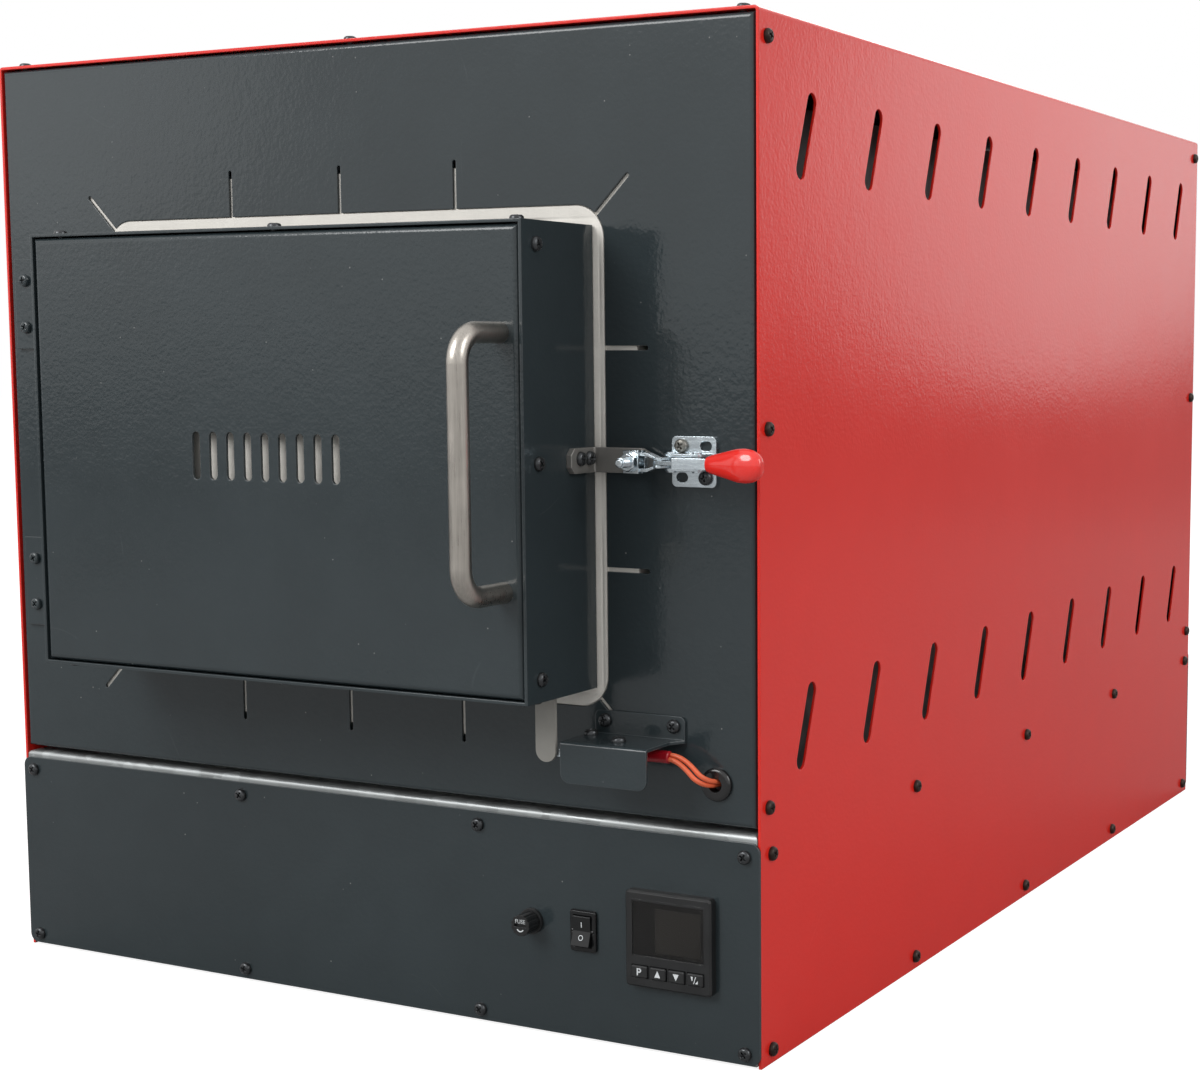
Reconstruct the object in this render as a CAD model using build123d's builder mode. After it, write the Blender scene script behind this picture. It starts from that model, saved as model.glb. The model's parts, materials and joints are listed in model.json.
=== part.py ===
from build123d import *
from math import cos, radians, sin
import os

# Hardening oven: sheet-steel cabinet, brick-lined chamber, side-hinged door,
# toggle clamp, door switch and control panel.
# X to the right, front faces -Y, Z up, origin at the middle of the base.

# Cabinet
width = 480.0
depth = 710.0
height = 500.0
sheet = 1.5
bend = 2.5
seam = 1.0
front = -depth / 2
rear = depth / 2

# Lower compartment
control_height = 109.0
shelf_top = 114.0
shelf_flange = 18.0
tray_flange = 16.0
tray_inset = 0.5
control_corner = 5.0
control_screw_x = (-232.0, -78.0, 78.0, 232.0)
control_screw_z = (7.0, 103.5)
side_screw_y = (-344.0, -172.0, 0.0, 172.0, 344.0)

# Upper panels
panel_bottom = 117.0
panel_flange = 21.0
flange_screw_z = (126.5, 306.7, 487.0)
flange_screw_inset = 8.0
top_screw_x = (-228.0, 0.0, 228.0)

# Slots in the wrapper's sides
slot_count = 9
slot_pitch = 76.7
slot_length = 44.0
slot_width = 9.5
slot_lean = 20.0
slot_z = (159.5, 445.2)

# Door opening, centred on the chamber
door_x = -3.0
door_z = 291.0
opening_width = 318.0
opening_height = 244.0
opening_corner = 16.0
slit_length = 24.0
slit_width = 2.2
slit_pitch_x = 72.0
slit_pitch_z = 107.0

# Door
door_width = 306.0
door_height = 224.0
door_depth = 60.0
door_gap = 1.0
door_lip = 12.0
cover_gap = 0.6
cover_flange = 18.0
cover_bend = 3.0
door_screw_inset = 11.5
door_screw_x = 143.0
door_screw_z = 101.0
vent_count = 9
vent_length = 24.0
vent_width = 5.0
vent_pitch = 11.0

# Chamber and insulation
ring_depth = 20.0
ring_width = 352.0
ring_height = 284.0
ring_proud = 0.2
casing_width = 404.0
casing_top = 468.0
casing_sheet = 1.0
casing_rear = 318.0
lining_width = 290.0
lining_height = 230.0
lining_rear = 270.0
cavity_width = 190.0
cavity_height = 130.0
cavity_rear = 220.0
plug_depth = 20.0
plug_gap = 5.0
groove_count = 4
groove_pitch = 26.0
groove_radius = 6.0
coil_gap = 0.3
coil_bend = 11.0
hearth_thickness = 10.0

# Screws
screw_radius = 2.0
head_radius = 3.5
head_height = 2.4
screw_length = 6.0
hole_gap = 0.2

# Hinges
pin_x = -172.0
pin_y = -375.0
pin_radius = 2.5
pin_fit = 0.05
knuckle_radius = 5.0
leaf_sheet = 2.0
leaf_height = 50.0
leaf_left = -232.0
leaf_z = (344.0, 188.0)
knuckle_gap = 0.3

# Toggle clamp, in its own plane: out is the distance from the front panel
clamp_z = 291.0
base_left = 193.8
base_width = 24.0
base_height = 24.0
base_sheet = 2.0
arm_pin_x, arm_pin_out = 197.0, 8.0
link_pin_x, link_pin_out = 211.0, 8.0
lever_pin_x, lever_pin_out = 194.4, 15.05
toggle_pin_x, toggle_pin_out = 204.8, 10.3
clamp_pin_radius = 1.5
blade_half = 1.0
plate_inner = 1.3
plate_sheet = 1.2
ear_inner = 2.8
ear_sheet = 1.2
spindle_x = 180.0
spindle_radius = 2.5
spindle_out = 28.0
bar_out = 11.0
bar_height = 5.0

# Strap on the door
strap_height = 12.0
strap_sheet = 3.0
strap_reach = 34.0
strap_leg = 23.0
strap_out = 3.0

# Door switch
bracket_left = 147.0
bracket_right = 195.0
bracket_top = 157.0
bracket_reach = 30.0
bracket_drop = 20.0
back_flange_right = 199.5
back_flange_top = 168.4
switch_length = 27.8
switch_width = 15.9
switch_height = 10.3
switch_left = 147.5
switch_out = 4.6
switch_hole_inset = 2.8
tab_x = 136.5
tab_width = 11.5
tab_out = 25.0
tab_bottom = 145.5
tab_sheet = 1.5
grommet_x = 216.5
grommet_z = 137.0
grommet_radius = 8.2
wire_radius = 1.2

# Handle
handle_x = 137.7
handle_centres = 120.0
handle_z = 291.5
handle_radius = 5.0
handle_reach = 33.0
handle_bend = 14.0

# Control panel fittings
controller_x = 192.0
controller_z = 57.6
controller_size = 48.0
controller_body = 45.0
controller_depth = 78.0
bezel_depth = 5.0
key_pitch = 10.4
key_width = 9.0
key_height = 6.0
key_travel = 0.8
rocker_x = 141.3
rocker_z = 56.3
rocker_width = 15.0
rocker_height = 21.0
fuse_x = 110.4
fuse_z = 57.5
fuse_cap_radius = 5.4
fuse_cap_length = 11.0

os.makedirs("parts", exist_ok=True)
BASE = (Align.CENTER, Align.MIN)
control_front = front - sheet
door_rear = front - door_gap
door_front = door_rear - door_depth


def facing(y, z=0):
    """Plane seen from the front: X right, Z up, normal towards -Y."""
    return Plane(origin=(0, y, z), x_dir=(1, 0, 0), z_dir=(0, -1, 0))


def save(built, name):
    built.part.label = name
    export_step(built.part, f"parts/{name}.step")


def pan_head(plane, spots):
    """Domed screws whose heads stand on the plane, one solid each."""
    with BuildPart() as screw:
        with BuildSketch(Plane.XZ):
            with BuildLine():
                Line((0, -screw_length), (screw_radius, -screw_length))
                Line((screw_radius, -screw_length), (screw_radius, 0))
                Line((screw_radius, 0), (head_radius, 0))
                Line((head_radius, 0), (head_radius, head_height * 0.45))
                Line((head_radius, head_height * 0.45), (head_radius * 0.55, head_height))
                Line((head_radius * 0.55, head_height), (0, head_height))
                Line((0, head_height), (0, -screw_length))
            make_face()
        revolve(axis=Axis.Z)
    return [plane * Pos(x, y) * screw.part for x, y in spots]


def side_spots(sign):
    """Screws of one side, as (along, up) on the side's plane."""
    upper = [(y, z) for y in (front + flange_screw_inset, rear - flange_screw_inset) for z in flange_screw_z]
    lower = [(y, z) for y in side_screw_y for z in control_screw_z]
    return [(sign * y, z) for y, z in upper + lower]


right_side = Plane(origin=(width / 2, 0, 0), x_dir=(0, 1, 0), z_dir=(1, 0, 0))
left_side = Plane(origin=(-width / 2, 0, 0), x_dir=(0, -1, 0), z_dir=(-1, 0, 0))
top_side = Plane(origin=(0, 0, height), x_dir=(1, 0, 0), z_dir=(0, 0, 1))
back_side = Plane(origin=(0, rear + sheet, 0), x_dir=(-1, 0, 0), z_dir=(0, 1, 0))
front_side = facing(control_front)
top_spots = [(x, y) for x in top_screw_x for y in (front + flange_screw_inset, rear - flange_screw_inset)]
control_spots = [(x, z) for x in control_screw_x for z in control_screw_z]
hole_radius = screw_radius + hole_gap
leaf_spots = [(leaf_left + 8, bottom + up) for bottom in leaf_z for up in (12, leaf_height - 12)]
bracket_spots = [(bracket_left + 8, bracket_top + 6.5), (bracket_right - 1.3, bracket_top + 6.5)]
clamp_spots = [(base_left + 5.5, clamp_z + 7.5), (base_left + base_width - 5.5, clamp_z - 7.5)]


def drill(plane, spots, reach):
    """Clearance holes for screws, cut into the part being built."""
    with BuildSketch(plane) as holes:
        with Locations(*spots):
            Circle(hole_radius)
    extrude(holes.sketch, amount=-reach, mode=Mode.SUBTRACT)


def side_holes(reach):
    drill(right_side, side_spots(1), reach)
    drill(left_side, side_spots(-1), reach)


def top_holes(reach):
    drill(top_side, top_spots, reach)


def end_holes(reach):
    drill(front_side, control_spots, reach)
    drill(back_side, control_spots, reach)


# Wrapper: left side, top and right side bent from one sheet
with BuildPart() as wrapper:
    with BuildSketch(facing(front)) as arch:
        Rectangle(width, height, align=BASE)
        fillet(arch.vertices().group_by(Axis.Y)[-1], bend)
    extrude(amount=-depth)
    with BuildSketch(facing(front)) as hollow:
        Rectangle(width - 2 * sheet, height - sheet, align=BASE)
        fillet(hollow.vertices().group_by(Axis.Y)[-1], bend - sheet)
    extrude(amount=-depth, mode=Mode.SUBTRACT)
    with BuildSketch(Plane.YZ):
        for level in slot_z:
            with Locations((0, level)):
                with GridLocations(slot_pitch, 1, slot_count, 1):
                    SlotOverall(slot_length, slot_width, rotation=90 - slot_lean)
    extrude(amount=width, both=True, mode=Mode.SUBTRACT)
    side_holes(2 * sheet)
    top_holes(2 * sheet)
save(wrapper, "wrapper")


def upper_pan(name, y, inward):
    """Panel with flanges bent inwards; inward is +1 at the front and -1 at the rear."""
    pan_width = width - 2 * sheet - 2 * seam
    pan_height = height - sheet - seam - panel_bottom
    with BuildPart() as pan:
        with BuildSketch(facing(y)):
            with Locations((0, panel_bottom)):
                Rectangle(pan_width, pan_height, align=BASE)
        extrude(amount=-inward * panel_flange)
        face = pan.faces().sort_by(Axis.Y)[0 if inward > 0 else -1]
        fillet(face.edges(), bend)
        open_face = pan.faces().sort_by(Axis.Y)[-1 if inward > 0 else 0]
        offset(amount=-sheet, openings=open_face)
        side_holes(3 * sheet + seam)
        top_holes(3 * sheet + seam)
        if name == "front_panel":
            with BuildSketch(facing(y)) as cut:
                with Locations((door_x, door_z)):
                    RectangleRounded(opening_width, opening_height, opening_corner)
                add(expansion_slits())
            extrude(amount=-3 * sheet, mode=Mode.SUBTRACT)
            with BuildSketch(facing(y)):
                with Locations((grommet_x, grommet_z)):
                    Circle(grommet_radius - 1.5)
            extrude(amount=-3 * sheet, mode=Mode.SUBTRACT)
            drill(facing(y), leaf_spots + bracket_spots + clamp_spots, 3 * sheet)
    return pan


def expansion_slits():
    """Slits that run outwards from the opening's edge and corners."""
    half_w = opening_width / 2
    half_h = opening_height / 2
    corner = opening_corner * (1 - cos(radians(45)))
    reach = slit_length + opening_corner
    with BuildSketch() as slits:
        with Locations((door_x, door_z)):
            for step in (-1, 0, 1):
                for sign in (-1, 1):
                    with Locations((step * slit_pitch_x, sign * (half_h + slit_length / 2 - slit_width))):
                        SlotOverall(slit_length + 2 * slit_width, slit_width, rotation=90)
            for step in (-0.5, 0.5):
                for sign in (-1, 1):
                    with Locations((sign * (half_w + slit_length / 2 - slit_width), step * slit_pitch_z)):
                        SlotOverall(slit_length + 2 * slit_width, slit_width)
            for turn in (45, 135, 225, 315):
                sign_x = 1 if cos(radians(turn)) > 0 else -1
                sign_y = 1 if sin(radians(turn)) > 0 else -1
                with Locations((sign_x * (half_w - corner), sign_y * (half_h - corner))):
                    with Locations((sign_x * slit_length * 0.35, sign_y * slit_length * 0.35)):
                        SlotOverall(slit_length + 2 * slit_width, slit_width, rotation=turn)
    return slits.sketch


save(upper_pan("front_panel", front, 1), "front_panel")
save(upper_pan("rear_panel", rear, -1), "rear_panel")

# Shelf over the lower compartment: tray with its flanges turned down
tray_width = width - 2 * sheet - 2 * tray_inset
with BuildPart() as shelf:
    with BuildSketch(Plane.XY.offset(shelf_top)):
        Rectangle(tray_width, depth)
    extrude(amount=-shelf_flange)
    fillet(shelf.faces().sort_by(Axis.Z)[-1].edges(), bend)
    offset(amount=-sheet, openings=shelf.faces().sort_by(Axis.Z)[0])
    side_holes(3 * sheet)
    end_holes(3 * sheet)
save(shelf, "chassis_shelf")

# Bottom tray: flanges turned up
with BuildPart() as tray:
    with BuildSketch(Plane.XY):
        Rectangle(tray_width, depth)
    extrude(amount=tray_flange)
    fillet(tray.faces().sort_by(Axis.Z)[0].edges(), bend)
    offset(amount=-sheet, openings=tray.faces().sort_by(Axis.Z)[-1])
    side_holes(3 * sheet)
    end_holes(3 * sheet)
save(tray, "bottom_tray")

# Control panel with its cut-outs
fuse_thread_radius = 6.0
with BuildPart() as control_panel:
    with BuildSketch(facing(front)) as plate:
        with Locations((0, sheet)):
            Rectangle(width, control_height, align=BASE)
        fillet(plate.vertices(), control_corner)
        with Locations((controller_x, controller_z)):
            Rectangle(controller_body + 0.6, controller_body + 0.6, mode=Mode.SUBTRACT)
        with Locations((rocker_x, rocker_z)):
            Rectangle(rocker_width - 2, rocker_height - 2, mode=Mode.SUBTRACT)
        with Locations((fuse_x, fuse_z)):
            Circle(fuse_thread_radius + hole_gap, mode=Mode.SUBTRACT)
        with Locations(*control_spots):
            Circle(hole_radius, mode=Mode.SUBTRACT)
    extrude(amount=sheet)
save(control_panel, "control_panel")

# Lower rear panel with the cut-out of the mains inlet
inlet_x = 150.0
inlet_z = 57.0
inlet_width = 31.0
inlet_height = 24.0
with BuildPart() as lower_rear:
    with BuildSketch(back_side.offset(-sheet)) as plate:
        with Locations((0, sheet)):
            Rectangle(width, control_height, align=BASE)
        fillet(plate.vertices(), control_corner)
        with Locations((-inlet_x, inlet_z)):
            Rectangle(inlet_width, inlet_height, mode=Mode.SUBTRACT)
        with Locations(*control_spots):
            Circle(hole_radius, mode=Mode.SUBTRACT)
    extrude(amount=sheet)
save(lower_rear, "lower_rear_panel")

# Fibre frame behind the front panel, its face flush in the cut-out
with BuildPart() as ring:
    with BuildSketch(facing(front + sheet)):
        with Locations((door_x, door_z)):
            Rectangle(ring_width, ring_height)
    extrude(amount=-ring_depth)
    with BuildSketch(facing(front + sheet)):
        with Locations((door_x, door_z)):
            RectangleRounded(opening_width - 1, opening_height - 1, opening_corner - 0.5)
    extrude(amount=sheet + ring_proud)
    with BuildSketch(facing(front - ring_proud)):
        with Locations((door_x, door_z)):
            Rectangle(cavity_width + 2 * plug_gap, cavity_height + 2 * plug_gap)
    extrude(amount=-(ring_depth + 2 * sheet), mode=Mode.SUBTRACT)
    drill(facing(front + sheet), bracket_spots, 5)
save(ring, "fibre_frame")

# Inner casing: galvanised box round the insulation, open at the front
casing_front = front + sheet + ring_depth
casing_height = casing_top - shelf_top
terminal_grid = (cavity_width, groove_pitch * (groove_count - 1), 2, 2)
with BuildPart() as casing:
    with BuildSketch(facing(casing_front)):
        with Locations((door_x, shelf_top)):
            Rectangle(casing_width, casing_height, align=BASE)
    extrude(amount=-(casing_rear - casing_front))
    offset(amount=-casing_sheet, openings=casing.faces().sort_by(Axis.Y)[0])
    with BuildSketch(facing(casing_rear)):
        with Locations((door_x, door_z)):
            with GridLocations(*terminal_grid):
                Circle(groove_radius + 2)
            Circle(6)
    extrude(amount=2 * casing_sheet, mode=Mode.SUBTRACT)
save(casing, "inner_casing")

# Insulation between casing and brick lining
with BuildPart() as insulation:
    with BuildSketch(facing(casing_front)):
        with Locations((door_x, shelf_top + casing_sheet)):
            Rectangle(casing_width - 2 * casing_sheet, casing_height - 2 * casing_sheet, align=BASE)
    extrude(amount=-(casing_rear - casing_sheet - casing_front))
    with BuildSketch(facing(casing_front)):
        with Locations((door_x, door_z)):
            Rectangle(lining_width, lining_height)
    extrude(amount=-(lining_rear - casing_front), mode=Mode.SUBTRACT)
    with BuildSketch(facing(casing_rear)):
        with Locations((door_x, door_z)):
            with GridLocations(*terminal_grid):
                Circle(groove_radius + 1)
            Circle(4)
    extrude(amount=casing_rear - lining_rear + 1, mode=Mode.SUBTRACT)
save(insulation, "insulation")

# Coils: the route of one side's coil, in at the rear, to and fro, and out at the rear
coil_front = casing_front + 30
coil_rear = cavity_rear - 14
tail_rear = casing_rear + 14
groove_levels = [(i - (groove_count - 1) / 2) * groove_pitch for i in range(groove_count)]


def coil_points(sign):
    x = door_x + sign * cavity_width / 2
    points = [(x, tail_rear, door_z + groove_levels[0])]
    for index, level in enumerate(groove_levels):
        start, end = (coil_rear, coil_front) if index % 2 == 0 else (coil_front, coil_rear)
        if index > 0:
            points.append((x, start, door_z + level))
        if index < groove_count - 1:
            points.append((x, end, door_z + level))
    return points + [(x, tail_rear, door_z + groove_levels[-1])]


# Brick lining with half-round grooves for the coils in both side walls
with BuildPart() as lining:
    with BuildSketch(facing(casing_front)):
        with Locations((door_x, door_z)):
            Rectangle(lining_width, lining_height)
    extrude(amount=-(lining_rear - casing_front))
    with BuildSketch(facing(casing_front)):
        with Locations((door_x, door_z)):
            Rectangle(cavity_width, cavity_height)
    extrude(amount=-(cavity_rear - casing_front), mode=Mode.SUBTRACT)
    for sign in (-1, 1):
        with BuildLine() as route:
            FilletPolyline(*coil_points(sign), radius=coil_bend)
        with BuildSketch(Plane(route.line @ 0, z_dir=route.line % 0)):
            Circle(groove_radius)
        sweep(mode=Mode.SUBTRACT)
    with BuildSketch(facing(lining_rear)):
        with Locations((door_x, door_z)):
            Circle(4)
    extrude(amount=lining_rear - cavity_rear + 1, mode=Mode.SUBTRACT)
save(lining, "chamber_lining")

# Heating coils in the grooves
coils = []
for sign in (-1, 1):
    with BuildPart() as coil:
        with BuildLine() as route:
            FilletPolyline(*coil_points(sign), radius=coil_bend)
        with BuildSketch(Plane(route.line @ 0, z_dir=route.line % 0)):
            Circle(groove_radius - coil_gap)
        sweep()
    coils.append(coil.part)
heating_coils = Compound(label="heating_coils", children=coils)
export_step(heating_coils, "parts/heating_coils.step")

# Ceramic bushes where the tails leave the casing
with BuildPart() as bushes:
    with BuildSketch(facing(casing_rear + 6)):
        with Locations((door_x, door_z)):
            with GridLocations(*terminal_grid):
                Circle(groove_radius + 4)
                Circle(groove_radius, mode=Mode.SUBTRACT)
    extrude(amount=6)
save(bushes, "coil_bushes")

# Hearth plate on the cavity floor
with BuildPart() as hearth:
    with BuildSketch(Plane.XY.offset(door_z - cavity_height / 2)):
        with Locations((door_x, (coil_front + coil_rear) / 2)):
            Rectangle(cavity_width - 2 * groove_radius, coil_rear - coil_front)
    extrude(amount=hearth_thickness)
    chamfer(hearth.faces().sort_by(Axis.Z)[-1].edges(), 1.5)
save(hearth, "hearth_plate")

# Thermocouple: sheath through the rear wall with its connection head
with BuildPart() as thermocouple:
    with BuildSketch(facing(cavity_rear - 35)):
        with Locations((door_x, door_z)):
            Circle(3)
    extrude(amount=-(casing_rear - cavity_rear + 35))
    with BuildSketch(facing(casing_rear)):
        with Locations((door_x, door_z)):
            Circle(11)
    extrude(amount=-18)
    fillet(thermocouple.faces().sort_by(Axis.Y)[-1].edges(), 2)
save(thermocouple, "thermocouple")

# Screws of the cabinet, with those of hinges, bracket, clamp and switch
switch_rear = front - switch_out
switch_front = switch_rear - switch_width
switch_spots = [
    (switch_left + switch_hole_inset, switch_rear - switch_hole_inset),
    (switch_left + switch_length - switch_hole_inset, switch_front + switch_hole_inset),
]
bracket_roof = Plane.XY.offset(bracket_top)
screws = pan_head(right_side, side_spots(1)) + pan_head(left_side, side_spots(-1))
screws += pan_head(top_side, top_spots)
screws += pan_head(front_side, control_spots) + pan_head(back_side, control_spots)
screws += pan_head(facing(front - sheet), bracket_spots)
screws += pan_head(facing(front - base_sheet), clamp_spots)
screws += pan_head(facing(front - leaf_sheet), leaf_spots)
screws += pan_head(bracket_roof, switch_spots)
case_screws = Compound(label="case_screws", children=screws)
export_step(case_screws, "parts/case_screws.step")

# Planes on the door's four sides, and its screws' places on them
door_right_x = door_x + door_width / 2
door_left_x = door_x - door_width / 2
door_top_z = door_z + door_height / 2
door_bottom_z = door_z - door_height / 2
screw_y = door_front + door_screw_inset
door_right = Plane(origin=(door_right_x, 0, 0), x_dir=(0, 1, 0), z_dir=(1, 0, 0))
door_left = Plane(origin=(door_left_x, 0, 0), x_dir=(0, -1, 0), z_dir=(-1, 0, 0))
door_top = Plane(origin=(0, 0, door_top_z), x_dir=(1, 0, 0), z_dir=(0, 0, 1))
door_under = Plane(origin=(0, 0, door_bottom_z), x_dir=(1, 0, 0), z_dir=(0, 0, -1))
door_rows = (
    (door_right, [(screw_y, door_z + step * door_screw_z) for step in (-1, 0, 1)]),
    (door_left, [(-screw_y, door_z + step * door_screw_z) for step in (-1, 0, 1)]),
    (door_top, [(door_x + step * door_screw_x, screw_y) for step in (-1, 0, 1)]),
    (door_under, [(door_x + step * door_screw_x, -screw_y) for step in (-1, 0, 1)]),
)
leaf_rear = pin_y - knuckle_radius + leaf_sheet
leaf_span = 21.5
door_leaf_spots = [(10 - leaf_rear, z) for x, z in leaf_spots]
strap_rear = front - strap_out
strap_spots = [(strap_rear - strap_leg + along, clamp_z + 1) for along in (7.7, 15.4)]
tab_foot = 19.0
tab_spot = (tab_x, tab_out + tab_foot / 2 - front)

# Door frame: four walls with a lip turned in at the rear
with BuildPart() as door_frame:
    with BuildSketch(facing(door_rear)):
        with Locations((door_x, door_z)):
            Rectangle(door_width, door_height)
    extrude(amount=door_depth)
    offset(amount=-sheet, openings=door_frame.faces().sort_by(Axis.Y)[0])
    with BuildSketch(facing(door_rear)):
        with Locations((door_x, door_z)):
            Rectangle(door_width - 2 * door_lip, door_height - 2 * door_lip)
    extrude(amount=2 * sheet, mode=Mode.SUBTRACT)
    for plane, spots in door_rows:
        drill(plane, spots, 2 * sheet)
    drill(door_left, door_leaf_spots, 2 * sheet)
    drill(door_right, strap_spots, 2 * sheet)
    drill(door_under, [tab_spot], 2 * sheet)
save(door_frame, "door_frame")

# Door cover: pan with bent edges, nested in the frame
cover_width = door_width - 2 * sheet - 2 * cover_gap
cover_height = door_height - 2 * sheet - 2 * cover_gap
with BuildPart() as cover:
    with BuildSketch(facing(door_front + cover_flange)):
        with Locations((door_x, door_z)):
            Rectangle(cover_width, cover_height)
    extrude(amount=cover_flange)
    fillet(cover.faces().sort_by(Axis.Y)[0].edges(), cover_bend)
    offset(amount=-sheet, openings=cover.faces().sort_by(Axis.Y)[-1])
    with BuildSketch(facing(door_front)):
        with Locations((door_x, door_z)):
            with GridLocations(vent_pitch, 1, vent_count, 1):
                SlotOverall(vent_length, vent_width, rotation=90)
    extrude(amount=-2 * sheet, mode=Mode.SUBTRACT)
    for plane, spots in door_rows:
        drill(plane, spots, 4 * sheet)
    handle_spots = [(handle_x, handle_z + step * handle_centres / 2) for step in (-1, 1)]
    drill(facing(door_front), handle_spots, 2 * sheet)
save(cover, "door_cover")

# Door insulation between cover and lip, clear of the screws' shanks
filling_front = door_front + cover_flange + 1
filling_rear = door_rear - sheet
filling_inset = 4.5
with BuildPart() as filling:
    with BuildSketch(facing(filling_rear)):
        with Locations((door_x, door_z)):
            Rectangle(door_width - 2 * (sheet + filling_inset), door_height - 2 * (sheet + filling_inset))
    extrude(amount=filling_rear - filling_front)
    with BuildSketch(facing(filling_front)):
        with Locations((door_x, door_z)):
            Rectangle(cover_width - 16, cover_height - 16)
    extrude(amount=filling_front - door_front - sheet - 6)
save(filling, "door_insulation")

# Door plug: fibre block that enters the fibre frame
with BuildPart() as plug:
    with BuildSketch(facing(filling_rear)):
        with Locations((door_x, door_z)):
            RectangleRounded(cavity_width, cavity_height, 4)
    extrude(amount=-(front - filling_rear + plug_depth))
    chamfer(plug.faces().sort_by(Axis.Y)[-1].edges(), 3)
save(plug, "door_plug")

# Bow handle, bent from round bar
with BuildPart() as handle:
    with BuildLine() as bow:
        FilletPolyline(
            (handle_x, door_front, handle_z - handle_centres / 2),
            (handle_x, door_front - handle_reach, handle_z - handle_centres / 2),
            (handle_x, door_front - handle_reach, handle_z + handle_centres / 2),
            (handle_x, door_front, handle_z + handle_centres / 2),
            radius=handle_bend,
        )
    with BuildSketch(Plane(bow.line @ 0, z_dir=bow.line % 0)):
        Circle(handle_radius)
    sweep()
    drill(facing(door_front), handle_spots, -12)
save(handle, "door_handle")

# Handle screws from inside the door
inside_cover = Plane(origin=(0, door_front + sheet, 0), x_dir=(-1, 0, 0), z_dir=(0, 1, 0))
handle_screws = Compound(
    label="handle_screws",
    children=pan_head(inside_cover, [(-x, z) for x, z in handle_spots]),
)
export_step(handle_screws, "parts/handle_screws.step")

# Strap that the clamp presses on: bent flat bar with a tapered end
strap_end = door_right_x + strap_sheet + strap_reach
strap_taper = 8.0
strap_tip = 2.0
with BuildPart() as strap:
    with BuildSketch(Plane.XY.offset(clamp_z - strap_height / 2)):
        with BuildLine():
            Polyline(
                (door_right_x, strap_rear),
                (door_right_x, strap_rear - strap_leg),
                (door_right_x + strap_sheet, strap_rear - strap_leg),
                (door_right_x + strap_sheet, strap_rear - strap_sheet),
                (strap_end, strap_rear - strap_sheet),
                (strap_end, strap_rear),
                close=True,
            )
        make_face()
    extrude(amount=strap_height)
    uprights = strap.edges().filter_by(Axis.Z)
    fillet(uprights.sort_by_distance((door_right_x, strap_rear, clamp_z))[0], 1.5 * strap_sheet)
    uprights = strap.edges().filter_by(Axis.Z)
    inner_bend = (door_right_x + strap_sheet, strap_rear - strap_sheet, clamp_z)
    fillet(uprights.sort_by_distance(inner_bend)[0], strap_sheet / 3)
    chamfer(strap.faces().sort_by(Axis.Y)[0].edges().filter_by(Axis.X), 3.0)
    with BuildSketch(facing(strap_rear, clamp_z)):
        with BuildLine():
            Polyline(
                (door_right_x, -strap_height / 2),
                (strap_end - strap_taper, -strap_height / 2),
                (strap_end, -strap_tip),
                (strap_end, strap_tip),
                (strap_end - strap_taper, strap_height / 2),
                (door_right_x, strap_height / 2),
                close=True,
            )
        make_face()
    extrude(amount=strap_leg, mode=Mode.INTERSECT)
    strap_face = Plane(origin=(door_right_x + strap_sheet, 0, 0), x_dir=(0, 1, 0), z_dir=(1, 0, 0))
    drill(strap_face, strap_spots, 2 * strap_sheet)
save(strap, "latch_strap")

# Switch tab under the door: bent strip with a round end
with BuildPart() as tab:
    with BuildSketch(facing(front - tab_out)):
        with Locations((tab_x, tab_bottom + tab_width / 2)):
            Circle(tab_width / 2)
            Rectangle(tab_width, door_bottom_z - tab_bottom - tab_width / 2, align=BASE)
    extrude(amount=tab_sheet)
    with BuildSketch(Plane.XY.offset(door_bottom_z)):
        with Locations((tab_x, front - tab_out)):
            Rectangle(tab_width, tab_foot, align=(Align.CENTER, Align.MAX))
    extrude(amount=-tab_sheet)
    drill(Plane(origin=(0, 0, door_bottom_z), x_dir=(1, 0, 0), z_dir=(0, 0, -1)), [tab_spot], -2 * tab_sheet)
save(tab, "switch_tab")

# Screws of the door, with those of its hinge leaves, strap and tab
leaf_face = door_left.offset(leaf_sheet)
tab_face = door_under.offset(tab_sheet)
screws = []
for plane, spots in door_rows:
    screws += pan_head(plane, spots)
screws += pan_head(leaf_face, door_leaf_spots) + pan_head(strap_face, strap_spots)
screws += pan_head(tab_face, [tab_spot])
door_screws = Compound(label="door_screws", children=screws)
export_step(door_screws, "parts/door_screws.step")

# Hinges: cabinet leaves with the lower knuckles
knuckle_height = (leaf_height - knuckle_gap) / 2
with BuildPart() as cabinet_leaves:
    for bottom in leaf_z:
        with BuildSketch(Plane.XY.offset(bottom)):
            with Locations((leaf_left, front)):
                Rectangle(pin_x - knuckle_radius + leaf_sheet - leaf_left, leaf_sheet, align=(Align.MIN, Align.MAX))
        extrude(amount=leaf_height)
        with BuildSketch(Plane.XY.offset(bottom)):
            with Locations((pin_x - knuckle_radius, front)):
                Rectangle(leaf_sheet, front - pin_y, align=(Align.MIN, Align.MAX))
            with Locations((pin_x, pin_y)):
                Circle(knuckle_radius)
                Circle(pin_radius + pin_fit, mode=Mode.SUBTRACT)
        extrude(amount=knuckle_height)
    drill(facing(front - leaf_sheet), leaf_spots, 2 * leaf_sheet)
save(cabinet_leaves, "hinge_cabinet_leaves")

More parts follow.
